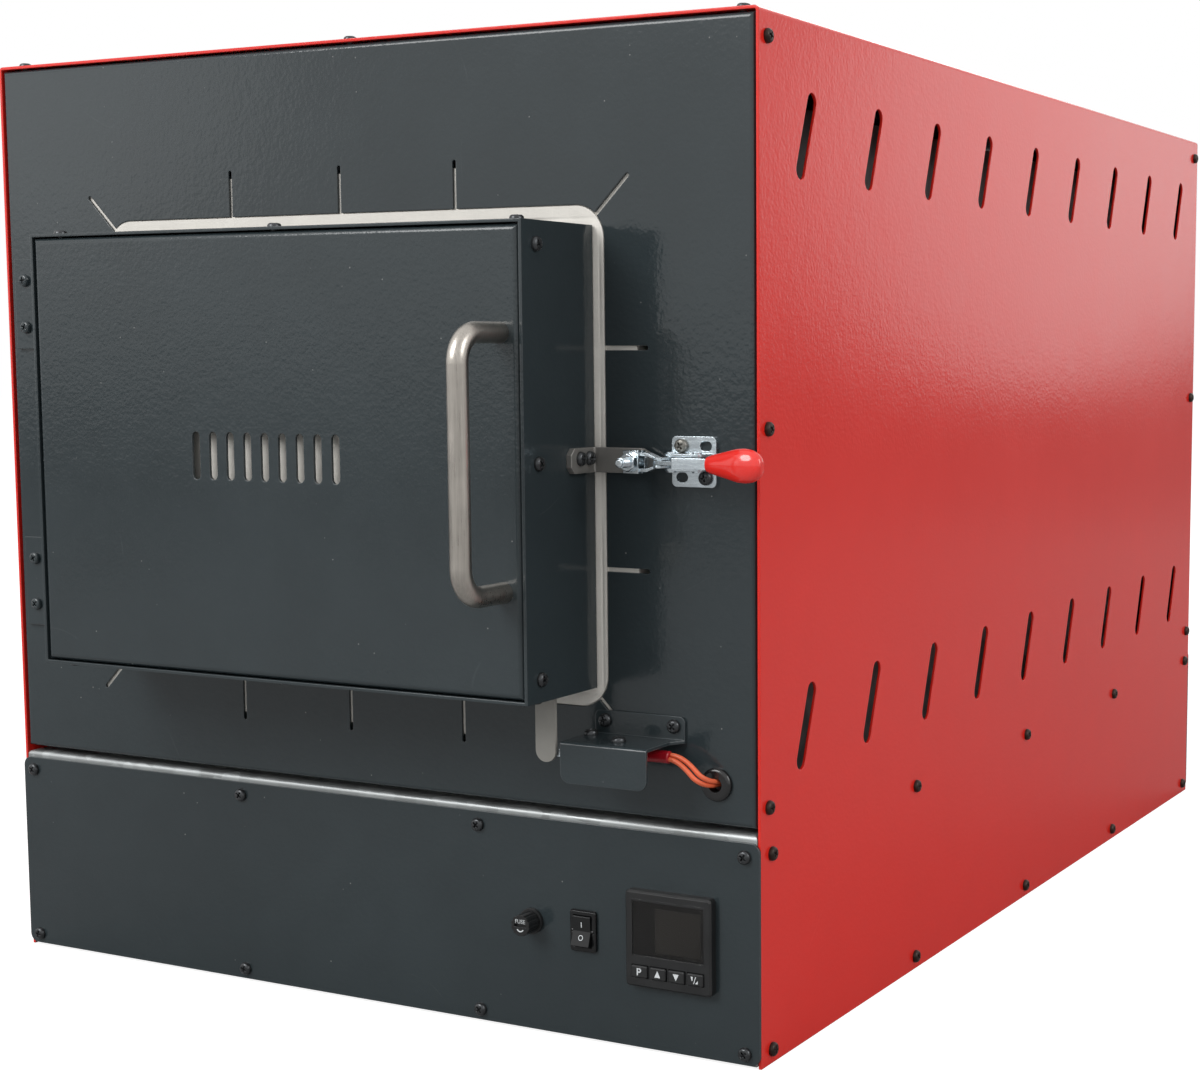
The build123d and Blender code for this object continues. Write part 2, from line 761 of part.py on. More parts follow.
# Hinges: door leaves with the upper knuckles
with BuildPart() as door_leaves:
    for bottom in leaf_z:
        with BuildSketch(Plane.XY.offset(bottom)):
            with Locations((door_left_x, leaf_rear)):
                Rectangle(leaf_sheet, leaf_span, align=(Align.MAX, Align.MAX))
        extrude(amount=leaf_height)
        with BuildSketch(Plane.XY.offset(bottom + leaf_height - knuckle_height)):
            with Locations((pin_x, pin_y - knuckle_radius)):
                Rectangle(door_left_x - pin_x, leaf_sheet, align=(Align.MIN, Align.MIN))
            with Locations((pin_x, pin_y)):
                Circle(knuckle_radius)
                Circle(pin_radius + pin_fit, mode=Mode.SUBTRACT)
        extrude(amount=knuckle_height)
    drill(leaf_face, door_leaf_spots, 2 * leaf_sheet)
save(door_leaves, "hinge_door_leaves")

# Hinge pins with domed heads above the knuckles
with BuildPart() as pins:
    for bottom in leaf_z:
        with BuildSketch(Plane.XY.offset(bottom)):
            with Locations((pin_x, pin_y)):
                Circle(pin_radius)
        extrude(amount=leaf_height + knuckle_gap)
        with BuildSketch(Plane.XY.offset(bottom + leaf_height + knuckle_gap)):
            with Locations((pin_x, pin_y)):
                Circle(pin_radius + 1.5)
        extrude(amount=2)
save(pins, "hinge_pins")

# Toggle clamp: local X to the right, local Y away from the front panel
clamp = Plane(origin=(0, front, clamp_z), x_dir=(1, 0, 0), z_dir=(0, 0, -1))
arm_pin_at = (arm_pin_x, arm_pin_out)
link_pin_at = (link_pin_x, link_pin_out)
lever_pin_at = (lever_pin_x, lever_pin_out)
toggle_pin_at = (toggle_pin_x, toggle_pin_out)
clamp_bore = clamp_pin_radius + pin_fit
base_x = base_left + base_width / 2

# Clamp base: plate with slotted holes and two ears
with BuildPart() as clamp_base:
    with BuildSketch(facing(front)):
        with Locations((base_x, clamp_z)):
            RectangleRounded(base_width, base_height, 2.5)
            with GridLocations(base_width - 11, base_height - 9, 2, 2):
                SlotOverall(6.4, 4.6, mode=Mode.SUBTRACT)
    extrude(amount=base_sheet)
    for level in (ear_inner, -ear_inner - ear_sheet):
        with BuildSketch(clamp.offset(level)):
            with Locations(arm_pin_at, link_pin_at):
                Circle(3.2)
            with Locations((base_x, base_sheet)):
                Rectangle(base_width - 3, base_sheet, align=(Align.CENTER, Align.MAX))
            make_hull()
            with Locations(arm_pin_at, link_pin_at):
                Circle(clamp_bore, mode=Mode.SUBTRACT)
        extrude(amount=ear_sheet)
save(clamp_base, "clamp_base")


def rivet(spot, half, cap):
    """Pin across the clamp; with a cap height it gets a flat head at each end."""
    with BuildPart() as pin:
        with BuildSketch(clamp):
            with Locations(spot):
                Circle(clamp_pin_radius)
        extrude(amount=half, both=True)
        for level in (half, -half - cap):
            if cap > 0:
                with BuildSketch(clamp.offset(level)):
                    with Locations(spot):
                        Circle(clamp_pin_radius + 0.9)
                extrude(amount=cap)
    return pin.part


ear_half = ear_inner + ear_sheet
base_pins = Compound(
    label="clamp_base_pins",
    children=[rivet(arm_pin_at, ear_half, 0.8), rivet(link_pin_at, ear_half, 0.8)],
)
export_step(base_pins, "parts/clamp_base_pins.step")

# Clamp arm: U-bar open at the hub and closed round the spindle
bar_inner = spindle_radius + 0.5
bar_sheet = 1.5
bar_hub = arm_pin_x - 4.0
bar_flare = bar_hub - 5.0
hub_outer = plate_inner + plate_sheet
with BuildPart() as arm:
    with BuildSketch(facing(front - bar_out, clamp_z)):
        for reach, hub in ((bar_inner + bar_sheet, hub_outer), (bar_inner, plate_inner)):
            flare = bar_flare + (0 if reach > bar_inner else 0.4)
            with BuildLine():
                Line((lever_pin_x, -hub), (bar_hub, -hub))
                Line((bar_hub, -hub), (flare, -reach))
                Line((flare, -reach), (spindle_x, -reach))
                ThreePointArc((spindle_x, -reach), (spindle_x - reach, 0), (spindle_x, reach))
                Line((spindle_x, reach), (flare, reach))
                Line((flare, reach), (bar_hub, hub))
                Line((bar_hub, hub), (lever_pin_x, hub))
                Line((lever_pin_x, hub), (lever_pin_x, -hub))
            make_face(mode=Mode.ADD if reach > bar_inner else Mode.SUBTRACT)
    extrude(amount=bar_height)
    for level in (plate_inner, -plate_inner - plate_sheet):
        with BuildSketch(clamp.offset(level)):
            with Locations(arm_pin_at):
                Circle(3.0)
            with Locations(lever_pin_at):
                Circle(2.8)
            make_hull()
            with Locations(arm_pin_at, lever_pin_at):
                Circle(clamp_bore, mode=Mode.SUBTRACT)
        extrude(amount=plate_sheet)
    with BuildSketch(clamp):
        with Locations(lever_pin_at):
            Circle(clamp_bore)
    extrude(amount=hub_outer, both=True, mode=Mode.SUBTRACT)
save(arm, "clamp_arm")

# Pin through arm and lever, its ends flush with the arm's plates
with BuildPart() as arm_pin:
    add(rivet(lever_pin_at, hub_outer, 0))
save(arm_pin, "arm_pin")

# Spindle: hex head on the strap, shank through the U-bar
nut_flats = 8.0
head_start = strap_out + strap_sheet + 0.3
washer_sheet = 1.0
with BuildPart() as spindle:
    with BuildSketch(facing(front - head_start)):
        with Locations((spindle_x, clamp_z)):
            RegularPolygon(nut_flats / 2, 6, major_radius=False)
    extrude(amount=bar_out - washer_sheet - head_start)
    with BuildSketch(facing(front - head_start)):
        with Locations((spindle_x, clamp_z)):
            Circle(spindle_radius)
    extrude(amount=spindle_out - head_start)
    chamfer(spindle.faces().sort_by(Axis.Y)[0].edges(), 0.6)
save(spindle, "clamp_spindle")

# Washers on both faces of the bar and the nut above them
bar_top = bar_out + bar_height
with BuildPart() as nuts:
    for out, size in ((bar_out - washer_sheet, washer_sheet), (bar_top, washer_sheet)):
        with BuildSketch(facing(front - out)):
            with Locations((spindle_x, clamp_z)):
                Circle(bar_inner + bar_sheet + 0.8)
                Circle(spindle_radius + hole_gap, mode=Mode.SUBTRACT)
        extrude(amount=size)
    with BuildSketch(facing(front - bar_top - washer_sheet)):
        with Locations((spindle_x, clamp_z)):
            RegularPolygon(nut_flats / 2, 6, major_radius=False)
            Circle(spindle_radius + hole_gap, mode=Mode.SUBTRACT)
    extrude(amount=4)
save(nuts, "spindle_nuts")

# Lever: blade between the arm's plates, channel, and tang for the grip
channel_start = 204.0
channel_end = 222.0
channel_low = lever_pin_out
channel_high = channel_low + 5.0
channel_half = 2.6
tang_end = 246.0
with BuildPart() as lever:
    with BuildSketch(clamp):
        with Locations(lever_pin_at):
            Circle(2.8)
        with Locations(toggle_pin_at):
            Circle(2.4)
        with Locations((channel_start + 4, channel_high - 2)):
            Circle(2)
        make_hull()
        with BuildLine():
            Polyline(
                (channel_start, channel_high),
                (channel_start, channel_low + 1),
                (channel_end, channel_low + 1),
                (tang_end, 20.0),
                (tang_end, 24.0),
                (channel_end, channel_high),
                close=True,
            )
        make_face()
        with Locations(lever_pin_at):
            Circle(clamp_bore, mode=Mode.SUBTRACT)
    extrude(amount=blade_half, both=True)
    with BuildSketch(clamp):
        with Locations((channel_start, channel_high)):
            Rectangle(channel_end - channel_start, 5.0, align=(Align.MIN, Align.MAX))
    extrude(amount=channel_half, both=True)
    for level in (blade_half, -blade_half - 0.6):
        with BuildSketch(clamp.offset(level)):
            with Locations((channel_start, channel_low)):
                Rectangle(channel_end - channel_start, 3.8, align=(Align.MIN, Align.MIN))
        extrude(amount=0.6, mode=Mode.SUBTRACT)
save(lever, "clamp_handle")

# Dipped grip over the tang, lofted through its sections
grip_sections = (
    (channel_end, 17.6, 3.6, 3.0),
    (channel_end + 7, 18.9, 5.4, 3.9),
    (channel_end + 16, 20.8, 7.4, 4.7),
    (channel_end + 24, 22.2, 7.8, 4.7),
    (channel_end + 29.5, 22.8, 5.6, 3.4),
    (channel_end + 31.5, 23.0, 2.2, 1.5),
)
with BuildPart() as grip:
    for x, out, tall, deep in grip_sections:
        with BuildSketch(Plane(origin=(x, front - out, clamp_z), x_dir=(0, -1, 0), z_dir=(1, 0, 0))):
            Ellipse(deep, tall)
    loft()
    with BuildSketch(clamp):
        with BuildLine():
            Polyline(
                (channel_end - 1, channel_low + 0.9),
                (channel_end, channel_low + 0.9),
                (tang_end + 0.1, 19.9),
                (tang_end + 0.1, 24.1),
                (channel_end, channel_high + 0.1),
                (channel_end - 1, channel_high + 0.1),
                close=True,
            )
        make_face()
    extrude(amount=blade_half + 0.1, both=True, mode=Mode.SUBTRACT)
save(grip, "clamp_grip")

# Links: two plates between base and lever
link_plates = []
for level in (plate_inner, -plate_inner - plate_sheet):
    with BuildPart() as plate:
        with BuildSketch(clamp.offset(level)):
            with Locations(link_pin_at, toggle_pin_at):
                Circle(2.6)
            make_hull()
            with Locations(link_pin_at):
                Circle(clamp_bore, mode=Mode.SUBTRACT)
        extrude(amount=plate_sheet)
    link_plates.append(plate.part)
clamp_links = Compound(label="clamp_links", children=link_plates)
export_step(clamp_links, "parts/clamp_links.step")

# Switch bracket: back flange, roof and front flange bent from one sheet
with BuildPart() as bracket:
    with BuildSketch(bracket_roof):
        with BuildLine():
            Polyline(
                (bracket_left, front),
                (bracket_left, front - bracket_reach),
                (bracket_right, front - bracket_reach),
                (bracket_right, front - 8),
                (back_flange_right, front - sheet),
                (back_flange_right, front),
                close=True,
            )
        make_face()
    extrude(amount=-sheet)
    with BuildSketch(facing(front)) as back:
        with Locations((bracket_left + 2, bracket_top - sheet)):
            Rectangle(
                back_flange_right - bracket_left - 2,
                back_flange_top - bracket_top + sheet,
                align=(Align.MIN, Align.MIN),
            )
        fillet(back.vertices().group_by(Axis.Y)[-1], 3)
    extrude(amount=sheet)
    with BuildSketch(facing(front - bracket_reach + sheet)) as drop:
        with Locations((bracket_left, bracket_top)):
            Rectangle(bracket_right - bracket_left, bracket_drop, align=(Align.MIN, Align.MAX))
        fillet(drop.vertices().group_by(Axis.Y)[0], 5)
    extrude(amount=sheet)
    fold = bracket.edges().filter_by(Axis.X).group_by(Axis.Y)[0].sort_by(Axis.Z)[-1]
    fillet(fold, sheet)
    drill(facing(front - sheet), bracket_spots, 2 * sheet)
    drill(bracket_roof, switch_spots, 2 * sheet)
save(bracket, "switch_bracket")

# Microswitch under the bracket, with the ears and pin of its lever
lever_x = switch_left + switch_length - 3.3
lever_stand = 2.9
lever_y = switch_front - lever_stand
lever_height = 4.0
switch_top = bracket_top - sheet
switch_mid = switch_top - switch_height / 2
with BuildPart() as limit_switch:
    with BuildSketch(Plane.XY.offset(switch_top)) as body:
        with Locations((switch_left, switch_rear)):
            Rectangle(switch_length, switch_width, align=(Align.MIN, Align.MAX))
        fillet(body.vertices(), 1)
    extrude(amount=-switch_height)
    for level in (switch_mid + lever_height / 2 + 0.3, switch_mid - lever_height / 2 - 1.5):
        with BuildSketch(Plane.XY.offset(level)):
            with Locations((lever_x, lever_y)):
                Circle(1.6)
                Rectangle(3.2, lever_stand + 0.5, align=BASE)
        extrude(amount=1.2)
    with BuildSketch(Plane.XY.offset(switch_mid - lever_height / 2 - 1)):
        with Locations((lever_x, lever_y)):
            Circle(0.7)
    extrude(amount=lever_height + 2)
    drill(bracket_roof, switch_spots, 8)
save(limit_switch, "limit_switch")

# Switch lever: leaf that the door's tab pushes, rolled round its pin
leaf_tip = tab_x - tab_width / 2
with BuildPart() as switch_lever:
    with BuildSketch(Plane.XY.offset(switch_mid - lever_height / 2)):
        with Locations((lever_x, lever_y)):
            Circle(1.3)
        with Locations((lever_x, lever_y - 1.3)):
            Rectangle(lever_x - leaf_tip, 0.5, align=(Align.MAX, Align.MIN))
        with Locations((lever_x, lever_y)):
            Circle(0.7 + pin_fit, mode=Mode.SUBTRACT)
    extrude(amount=lever_height)
save(switch_lever, "switch_lever")

# Heat-shrink over the switch's terminals
shrink_start = switch_left + switch_length
shrink_end = bracket_right + 2
shrink_y = front - 11.0
shrink_z = switch_mid
with BuildPart() as shrink:
    with BuildSketch(Plane(origin=(shrink_start, shrink_y, shrink_z), x_dir=(0, 1, 0), z_dir=(1, 0, 0))):
        Circle(3)
    extrude(amount=shrink_end - shrink_start)
    chamfer(shrink.faces().sort_by(Axis.X)[-1].edges(), 0.5)
save(shrink, "heat_shrink")

# Switch wires: out of the heat-shrink, down to the grommet and in through it
for name, shift in (("switch_wire_a", -0.9), ("switch_wire_b", 0.9)):
    with BuildPart() as wire:
        with BuildLine() as route:
            FilletPolyline(
                (shrink_end, shrink_y + shift, shrink_z + shift),
                (shrink_end + 6 + shift, shrink_y + shift, shrink_z + shift),
                (grommet_x + shift, shrink_y + shift, grommet_z + shift),
                (grommet_x + shift, front + 10, grommet_z + shift),
                radius=7,
            )
        with BuildSketch(Plane(route.line @ 0, z_dir=route.line % 0)):
            Circle(wire_radius)
        sweep()
    save(wire, name)

# Grommet in the front panel
with BuildPart() as grommet:
    with BuildSketch(facing(front)):
        with Locations((grommet_x, grommet_z)):
            Circle(grommet_radius)
    extrude(amount=2.5)
    fillet(grommet.faces().sort_by(Axis.Y)[0].edges(), 1.8)
    with BuildSketch(facing(front)):
        with Locations((grommet_x, grommet_z)):
            Circle(grommet_radius - 1.8)
    extrude(amount=-sheet)
    with BuildSketch(facing(front + sheet)):
        with Locations((grommet_x, grommet_z)):
            Circle(grommet_radius)
    extrude(amount=-1.5)
    with BuildSketch(facing(front - 2.5)):
        with Locations((grommet_x, grommet_z)):
            Circle(3.6)
    extrude(amount=-6, mode=Mode.SUBTRACT)
save(grommet, "wire_grommet")

# Controller: bezel in front of the panel, body behind it, pockets for window and keys
bezel_front = control_front - bezel_depth
window_width = 40.0
window_height = 27.0
window_z = controller_z + 5.5
window_sheet = 1.0
key_z = controller_z - 16.0
key_gap = 0.3
key_thickness = 3.0
key_proud = 1.1
key_columns = [(i - 1.5) * key_pitch for i in range(4)]
with BuildPart() as controller:
    with BuildSketch(facing(control_front)):
        with Locations((controller_x, controller_z)):
            RectangleRounded(controller_size, controller_size, 2)
    extrude(amount=bezel_depth)
    chamfer(controller.faces().sort_by(Axis.Y)[0].edges(), 1)
    with BuildSketch(facing(control_front)):
        with Locations((controller_x, controller_z)):
            Rectangle(controller_body, controller_body)
    extrude(amount=-controller_depth)
    with BuildSketch(facing(bezel_front)):
        with Locations((controller_x, window_z)):
            Rectangle(window_width, window_height)
    extrude(amount=-window_sheet - 0.5, mode=Mode.SUBTRACT)
    with BuildSketch(facing(bezel_front)):
        for column in key_columns:
            with Locations((controller_x + column, key_z)):
                Rectangle(key_width + 2 * key_gap, key_height + 2 * key_gap)
    extrude(amount=-(key_thickness - key_proud + key_travel + 0.4), mode=Mode.SUBTRACT)
save(controller, "controller_case")

# Controller window
with BuildPart() as window:
    with BuildSketch(facing(bezel_front + window_sheet + 0.5)):
        with Locations((controller_x, window_z)):
            Rectangle(window_width - 0.4, window_height - 0.4)
    extrude(amount=window_sheet)
save(window, "controller_window")

# Controller keys, one node each because each is pressed by itself
for name, column in zip(("key_program", "key_up", "key_down", "key_run"), key_columns):
    with BuildPart() as key:
        with BuildSketch(facing(bezel_front + key_thickness - key_proud)):
            with Locations((controller_x + column, key_z)):
                RectangleRounded(key_width, key_height, 0.8)
        extrude(amount=key_thickness)
        chamfer(key.faces().sort_by(Axis.Y)[0].edges(), 0.5)
    save(key, name)

# Rocker housing: flange on the panel, box behind it, bearing holes for the rocker
housing_sheet = 2.0
housing_depth = 20.0
rocker_half = 5.1
rocker_radius = 7.9
rocker_gap = 0.3
rocker_axis_y = control_front - 1.0
rocker_tilt = 7.0
axle_radius = 1.2
body_width = rocker_width - 2.4
with BuildPart() as housing:
    with BuildSketch(facing(control_front)):
        with Locations((rocker_x, rocker_z)):
            RectangleRounded(rocker_width, rocker_height, 1.5)
    extrude(amount=housing_sheet)
    chamfer(housing.faces().sort_by(Axis.Y)[0].edges(), 0.6)
    with BuildSketch(facing(control_front)):
        with Locations((rocker_x, rocker_z)):
            Rectangle(body_width, rocker_height - 2.4)
    extrude(amount=-housing_depth)
    with BuildSketch(facing(control_front - housing_sheet)):
        with Locations((rocker_x, rocker_z)):
            Rectangle(2 * (rocker_half + rocker_gap), 2 * (rocker_radius + rocker_gap))
    extrude(amount=-11, mode=Mode.SUBTRACT)
    with BuildSketch(Plane.YZ.offset(rocker_x)):
        with Locations((rocker_axis_y, rocker_z)):
            Circle(axle_radius + pin_fit)
    extrude(amount=rocker_half + 1.3, both=True, mode=Mode.SUBTRACT)
save(housing, "rocker_housing")

# Rocker, drawn in its middle position and then tipped
tilt_out = (0, -cos(radians(rocker_tilt)), sin(radians(rocker_tilt)))
rocker_plane = Plane(origin=(rocker_x, rocker_axis_y, rocker_z), x_dir=tilt_out, z_dir=(-1, 0, 0))
lip_out = 3.0
lip_up = (rocker_radius**2 - lip_out**2) ** 0.5
skirt_out = -4.0
skirt_up = (rocker_radius**2 - skirt_out**2) ** 0.5
with BuildPart() as rocker:
    with BuildSketch(rocker_plane):
        with BuildLine():
            Line((lip_out, lip_up), (1.6, 0))
            Line((1.6, 0), (lip_out, -lip_up))
            ThreePointArc((lip_out, -lip_up), (0, -rocker_radius), (skirt_out, -skirt_up))
            Line((skirt_out, -skirt_up), (skirt_out, skirt_up))
            ThreePointArc((skirt_out, skirt_up), (0, rocker_radius), (lip_out, lip_up))
        make_face()
    extrude(amount=rocker_half, both=True)
    with BuildSketch(rocker_plane):
        Circle(axle_radius)
    extrude(amount=rocker_half + 1.1, both=True)
save(rocker, "rocker")

# Fuse holder: ring on the panel, barrel behind it
ring_sheet = 2.0
barrel_depth = 34.0
fuse_bore = 4.0
with BuildPart() as fuse_holder:
    with BuildSketch(facing(control_front)):
        with Locations((fuse_x, fuse_z)):
            Circle(6.6)
    extrude(amount=ring_sheet)
    with BuildSketch(facing(control_front)):
        with Locations((fuse_x, fuse_z)):
            Circle(fuse_thread_radius)
    extrude(amount=-barrel_depth)
    with BuildSketch(facing(front)):
        with Locations((fuse_x, fuse_z)):
            RegularPolygon(8, 6, major_radius=False)
    extrude(amount=-4)
    with BuildSketch(facing(control_front - ring_sheet)):
        with Locations((fuse_x, fuse_z)):
            Circle(fuse_bore)
    extrude(amount=-(barrel_depth + ring_sheet - 2), mode=Mode.SUBTRACT)
save(fuse_holder, "fuse_holder")

# Fuse cap: fluted knob with a coin slot and the stem that carries the fuse
stem_radius = 3.6
stem_length = 9.0
knob_rear = control_front - ring_sheet - 0.3
knob_front = control_front - fuse_cap_length
with BuildPart() as cap:
    with BuildSketch(facing(knob_rear)):
        with Locations((fuse_x, fuse_z)):
            Circle(fuse_cap_radius)
            with PolarLocations(fuse_cap_radius + 0.4, 12):
                Circle(0.8, mode=Mode.SUBTRACT)
    extrude(amount=knob_rear - knob_front)
    with BuildSketch(facing(knob_front)):
        with Locations((fuse_x, fuse_z)):
            Rectangle(7, 1.4)
    extrude(amount=-1.5, mode=Mode.SUBTRACT)
    with BuildSketch(facing(knob_rear)):
        with Locations((fuse_x, fuse_z)):
            Circle(stem_radius)
    extrude(amount=-stem_length)
save(cap, "fuse_cap")

# Glass fuse, 5 x 20 mm, held by the cap's stem
with BuildPart() as fuse:
    with BuildSketch(facing(knob_rear + stem_length)):
        with Locations((fuse_x, fuse_z)):
            Circle(2.6)
    extrude(amount=-20)
save(fuse, "glass_fuse")

# Mains inlet in the lower rear panel
with BuildPart() as inlet:
    with BuildSketch(back_side):
        with Locations((-inlet_x, inlet_z)):
            RectangleRounded(inlet_width + 9, inlet_height + 7, 3)
    extrude(amount=3)
    chamfer(inlet.faces().sort_by(Axis.Y)[-1].edges(), 1)
    with BuildSketch(back_side):
        with Locations((-inlet_x, inlet_z)):
            Rectangle(inlet_width - 0.6, inlet_height - 0.6)
    extrude(amount=-26)
    for deep, pins in ((6, False), (19, True)):
        with BuildSketch(back_side.offset(3)):
            with Locations((-inlet_x, inlet_z)):
                Rectangle(inlet_width - 7, inlet_height - 7.5)
                if pins:
                    with Locations((-7, -1), (7, -1), (0, 3)):
                        Rectangle(2, 4.5, mode=Mode.SUBTRACT)
        extrude(amount=-deep, mode=Mode.SUBTRACT)
save(inlet, "mains_inlet")

# Heat sink with upright fins on the bottom tray
sink_at = (-120.0, -60.0)
sink_width = 62.0
sink_length = 80.0
sink_height = 32.0
fin_count = 8
fin_sheet = 2.0
fin_pitch = (sink_width - fin_sheet) / (fin_count - 1)
with BuildPart() as heatsink:
    with BuildSketch(Plane.XY.offset(sheet)):
        with Locations(sink_at):
            with GridLocations(fin_pitch, 1, fin_count, 1):
                Rectangle(fin_sheet, sink_length)
    extrude(amount=sink_height)
    with BuildSketch(Plane.XY.offset(sheet + sink_height)):
        with Locations(sink_at):
            Rectangle(sink_width, sink_length)
    extrude(amount=-6)
save(heatsink, "heatsink")

# Solid-state relay on the heat sink
with BuildPart() as relay:
    with BuildSketch(Plane.XY.offset(sheet + sink_height)):
        with Locations(sink_at):
            Rectangle(45, 58)
            with Locations((0, 24), (0, -24)):
                Circle(2.2, mode=Mode.SUBTRACT)
    extrude(amount=12)
    with BuildSketch(Plane.XY.offset(sheet + sink_height + 12)):
        with Locations(sink_at):
            Rectangle(45, 34)
    extrude(amount=12)
    chamfer(relay.faces().sort_by(Axis.Z)[-1].edges(), 2)
save(relay, "relay")

# Contactor: stepped body with terminal recesses
contactor_at = (-20.0, -60.0)
with BuildPart() as contactor:
    with BuildSketch(Plane.YZ.offset(contactor_at[0] - 22)):
        with Locations((contactor_at[1], sheet)):
            Rectangle(74, 30, align=BASE)
            Rectangle(50, 62, align=BASE)
            Rectangle(34, 80, align=BASE)
    extrude(amount=44)
    with BuildSketch(Plane.XY.offset(sheet + 62)):
        with Locations(contactor_at):
            with GridLocations(11, 42, 4, 2):
                Rectangle(7, 6)
    extrude(amount=-8, mode=Mode.SUBTRACT)
save(contactor, "contactor")

# Terminal block on the bottom tray
with BuildPart() as block:
    with BuildSketch(Plane.YZ.offset(60)):
        with Locations((140, sheet)):
            Rectangle(22, 10, align=BASE)
            Rectangle(12, 17, align=BASE)
    extrude(amount=60)
    with BuildSketch(Plane.XY.offset(sheet + 17)):
        with Locations((90, 140)):
            with GridLocations(10, 1, 6, 1):
                Circle(2.5)
    extrude(amount=-8, mode=Mode.SUBTRACT)
save(block, "terminal_block")
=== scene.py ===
"""Hardening oven: camera, studio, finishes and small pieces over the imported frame."""

import json
import math
import random

import bmesh
import bpy
from mathutils import Matrix, Vector, noise


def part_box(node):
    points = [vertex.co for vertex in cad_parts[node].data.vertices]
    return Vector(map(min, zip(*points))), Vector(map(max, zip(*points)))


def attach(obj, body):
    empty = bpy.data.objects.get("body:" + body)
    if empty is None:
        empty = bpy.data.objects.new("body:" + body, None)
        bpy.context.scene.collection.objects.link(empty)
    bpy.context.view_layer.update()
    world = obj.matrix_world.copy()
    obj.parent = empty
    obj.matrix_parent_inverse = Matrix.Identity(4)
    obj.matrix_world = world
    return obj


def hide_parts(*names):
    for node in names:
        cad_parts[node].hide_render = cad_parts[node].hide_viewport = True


bl_info = {
    "name": "Hardening oven",
    "version": (1, 0, 0),
    "blender": (4, 5, 0),
    "location": "3D View > Sidebar > Oven",
    "description": "Camera, studio, finishes and small pieces of a bench hardening oven",
    "category": "Object",
}

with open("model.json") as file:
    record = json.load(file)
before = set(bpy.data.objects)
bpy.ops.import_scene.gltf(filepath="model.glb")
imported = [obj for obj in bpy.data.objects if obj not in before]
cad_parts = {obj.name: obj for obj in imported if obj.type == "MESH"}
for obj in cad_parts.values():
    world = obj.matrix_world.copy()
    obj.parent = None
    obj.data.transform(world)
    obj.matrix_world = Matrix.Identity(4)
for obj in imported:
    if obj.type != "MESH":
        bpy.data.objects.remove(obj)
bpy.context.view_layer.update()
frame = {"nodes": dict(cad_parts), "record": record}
nodes = frame["nodes"]

MM = 0.001
PHOTO_WIDTH, PHOTO_HEIGHT = 1200, 1073
FOCAL_PIXELS = 2069.9
OPTICAL_CENTRE = (811.6, 562.6)
SENSOR_MM = 36.0
CAMERA_AT = (0.6918, -1.2052, 0.3444)
CAMERA_TURN = (84.084, 0.0, 26.557)

# Local Z points out of the front, local X to the right and local Y up
FRONT_FACING = Matrix(((1, 0, 0, 0), (0, 0, -1, 0), (0, 1, 0, 0), (0, 0, 0, 1)))


def paint(red, green, blue):
    """A screen colour, 0 to 255 a channel, as the linear colour of Blender's sockets."""

    def linear(level):
        level /= 255
        return level / 12.92 if level <= 0.04045 else ((level + 0.055) / 1.055) ** 2.4

    return (linear(red), linear(green), linear(blue))


def shade(colour, share, lift=0.0):
    """A lighter or darker shade of a colour."""
    return tuple(min(1.0, channel * share + lift) for channel in colour)


def colour_property(title, description, default):
    return bpy.props.FloatVectorProperty(
        name=title, description=description, default=default, size=3, min=0.0, max=1.0, subtype="COLOR"
    )


def length_property(title, description, default):
    return bpy.props.FloatProperty(
        name=title,
        description=description,
        default=default,
        min=0.0,
        precision=5,
        subtype="DISTANCE",
        unit="LENGTH",
    )


class OvenColours(bpy.types.PropertyGroup):
    """Base colours of the oven's finishes"""

    red_coat: colour_property("Red coat", "Powder coat of the wrapper", paint(224, 40, 30))
    grey_coat: colour_property("Grey coat", "Powder coat of panels, door and bracket", paint(46, 54, 57))
    galvanised: colour_property("Galvanised", "Shelf, bottom tray and inner casing", paint(176, 180, 180))
    zinc: colour_property("Zinc plate", "Toggle clamp", paint(222, 232, 238))
    stainless: colour_property("Stainless", "Door handle", paint(190, 184, 176))
    strap_steel: colour_property("Strap steel", "Strap that the clamp presses on", paint(140, 138, 134))
    tab_coat: colour_property("Tab coat", "Switch tab under the door", paint(150, 148, 142))
    fibre: colour_property("Fibre", "Ceramic fibre of frame, plug and fillings", paint(244, 240, 232))
    brick: colour_property("Brick", "Insulating brick of the chamber", paint(222, 206, 176))
    grip: colour_property("Grip", "Dipped grip of the clamp", paint(238, 46, 38))
    sleeve: colour_property("Sleeve", "Heat-shrink sleeve", paint(178, 18, 34))
    wire: colour_property("Wire", "Silicone wires of the door switch", paint(242, 112, 72))
    plastic: colour_property("Plastic", "Black mouldings", paint(26, 27, 28))
    screw: colour_property("Screw", "Black screws", paint(74, 76, 78))
    brown_screw: colour_property("Browned screw", "Screws in the red sides", paint(60, 46, 40))
    mark: colour_property("Mark", "White marks on cap, rocker and keys", paint(222, 226, 228))


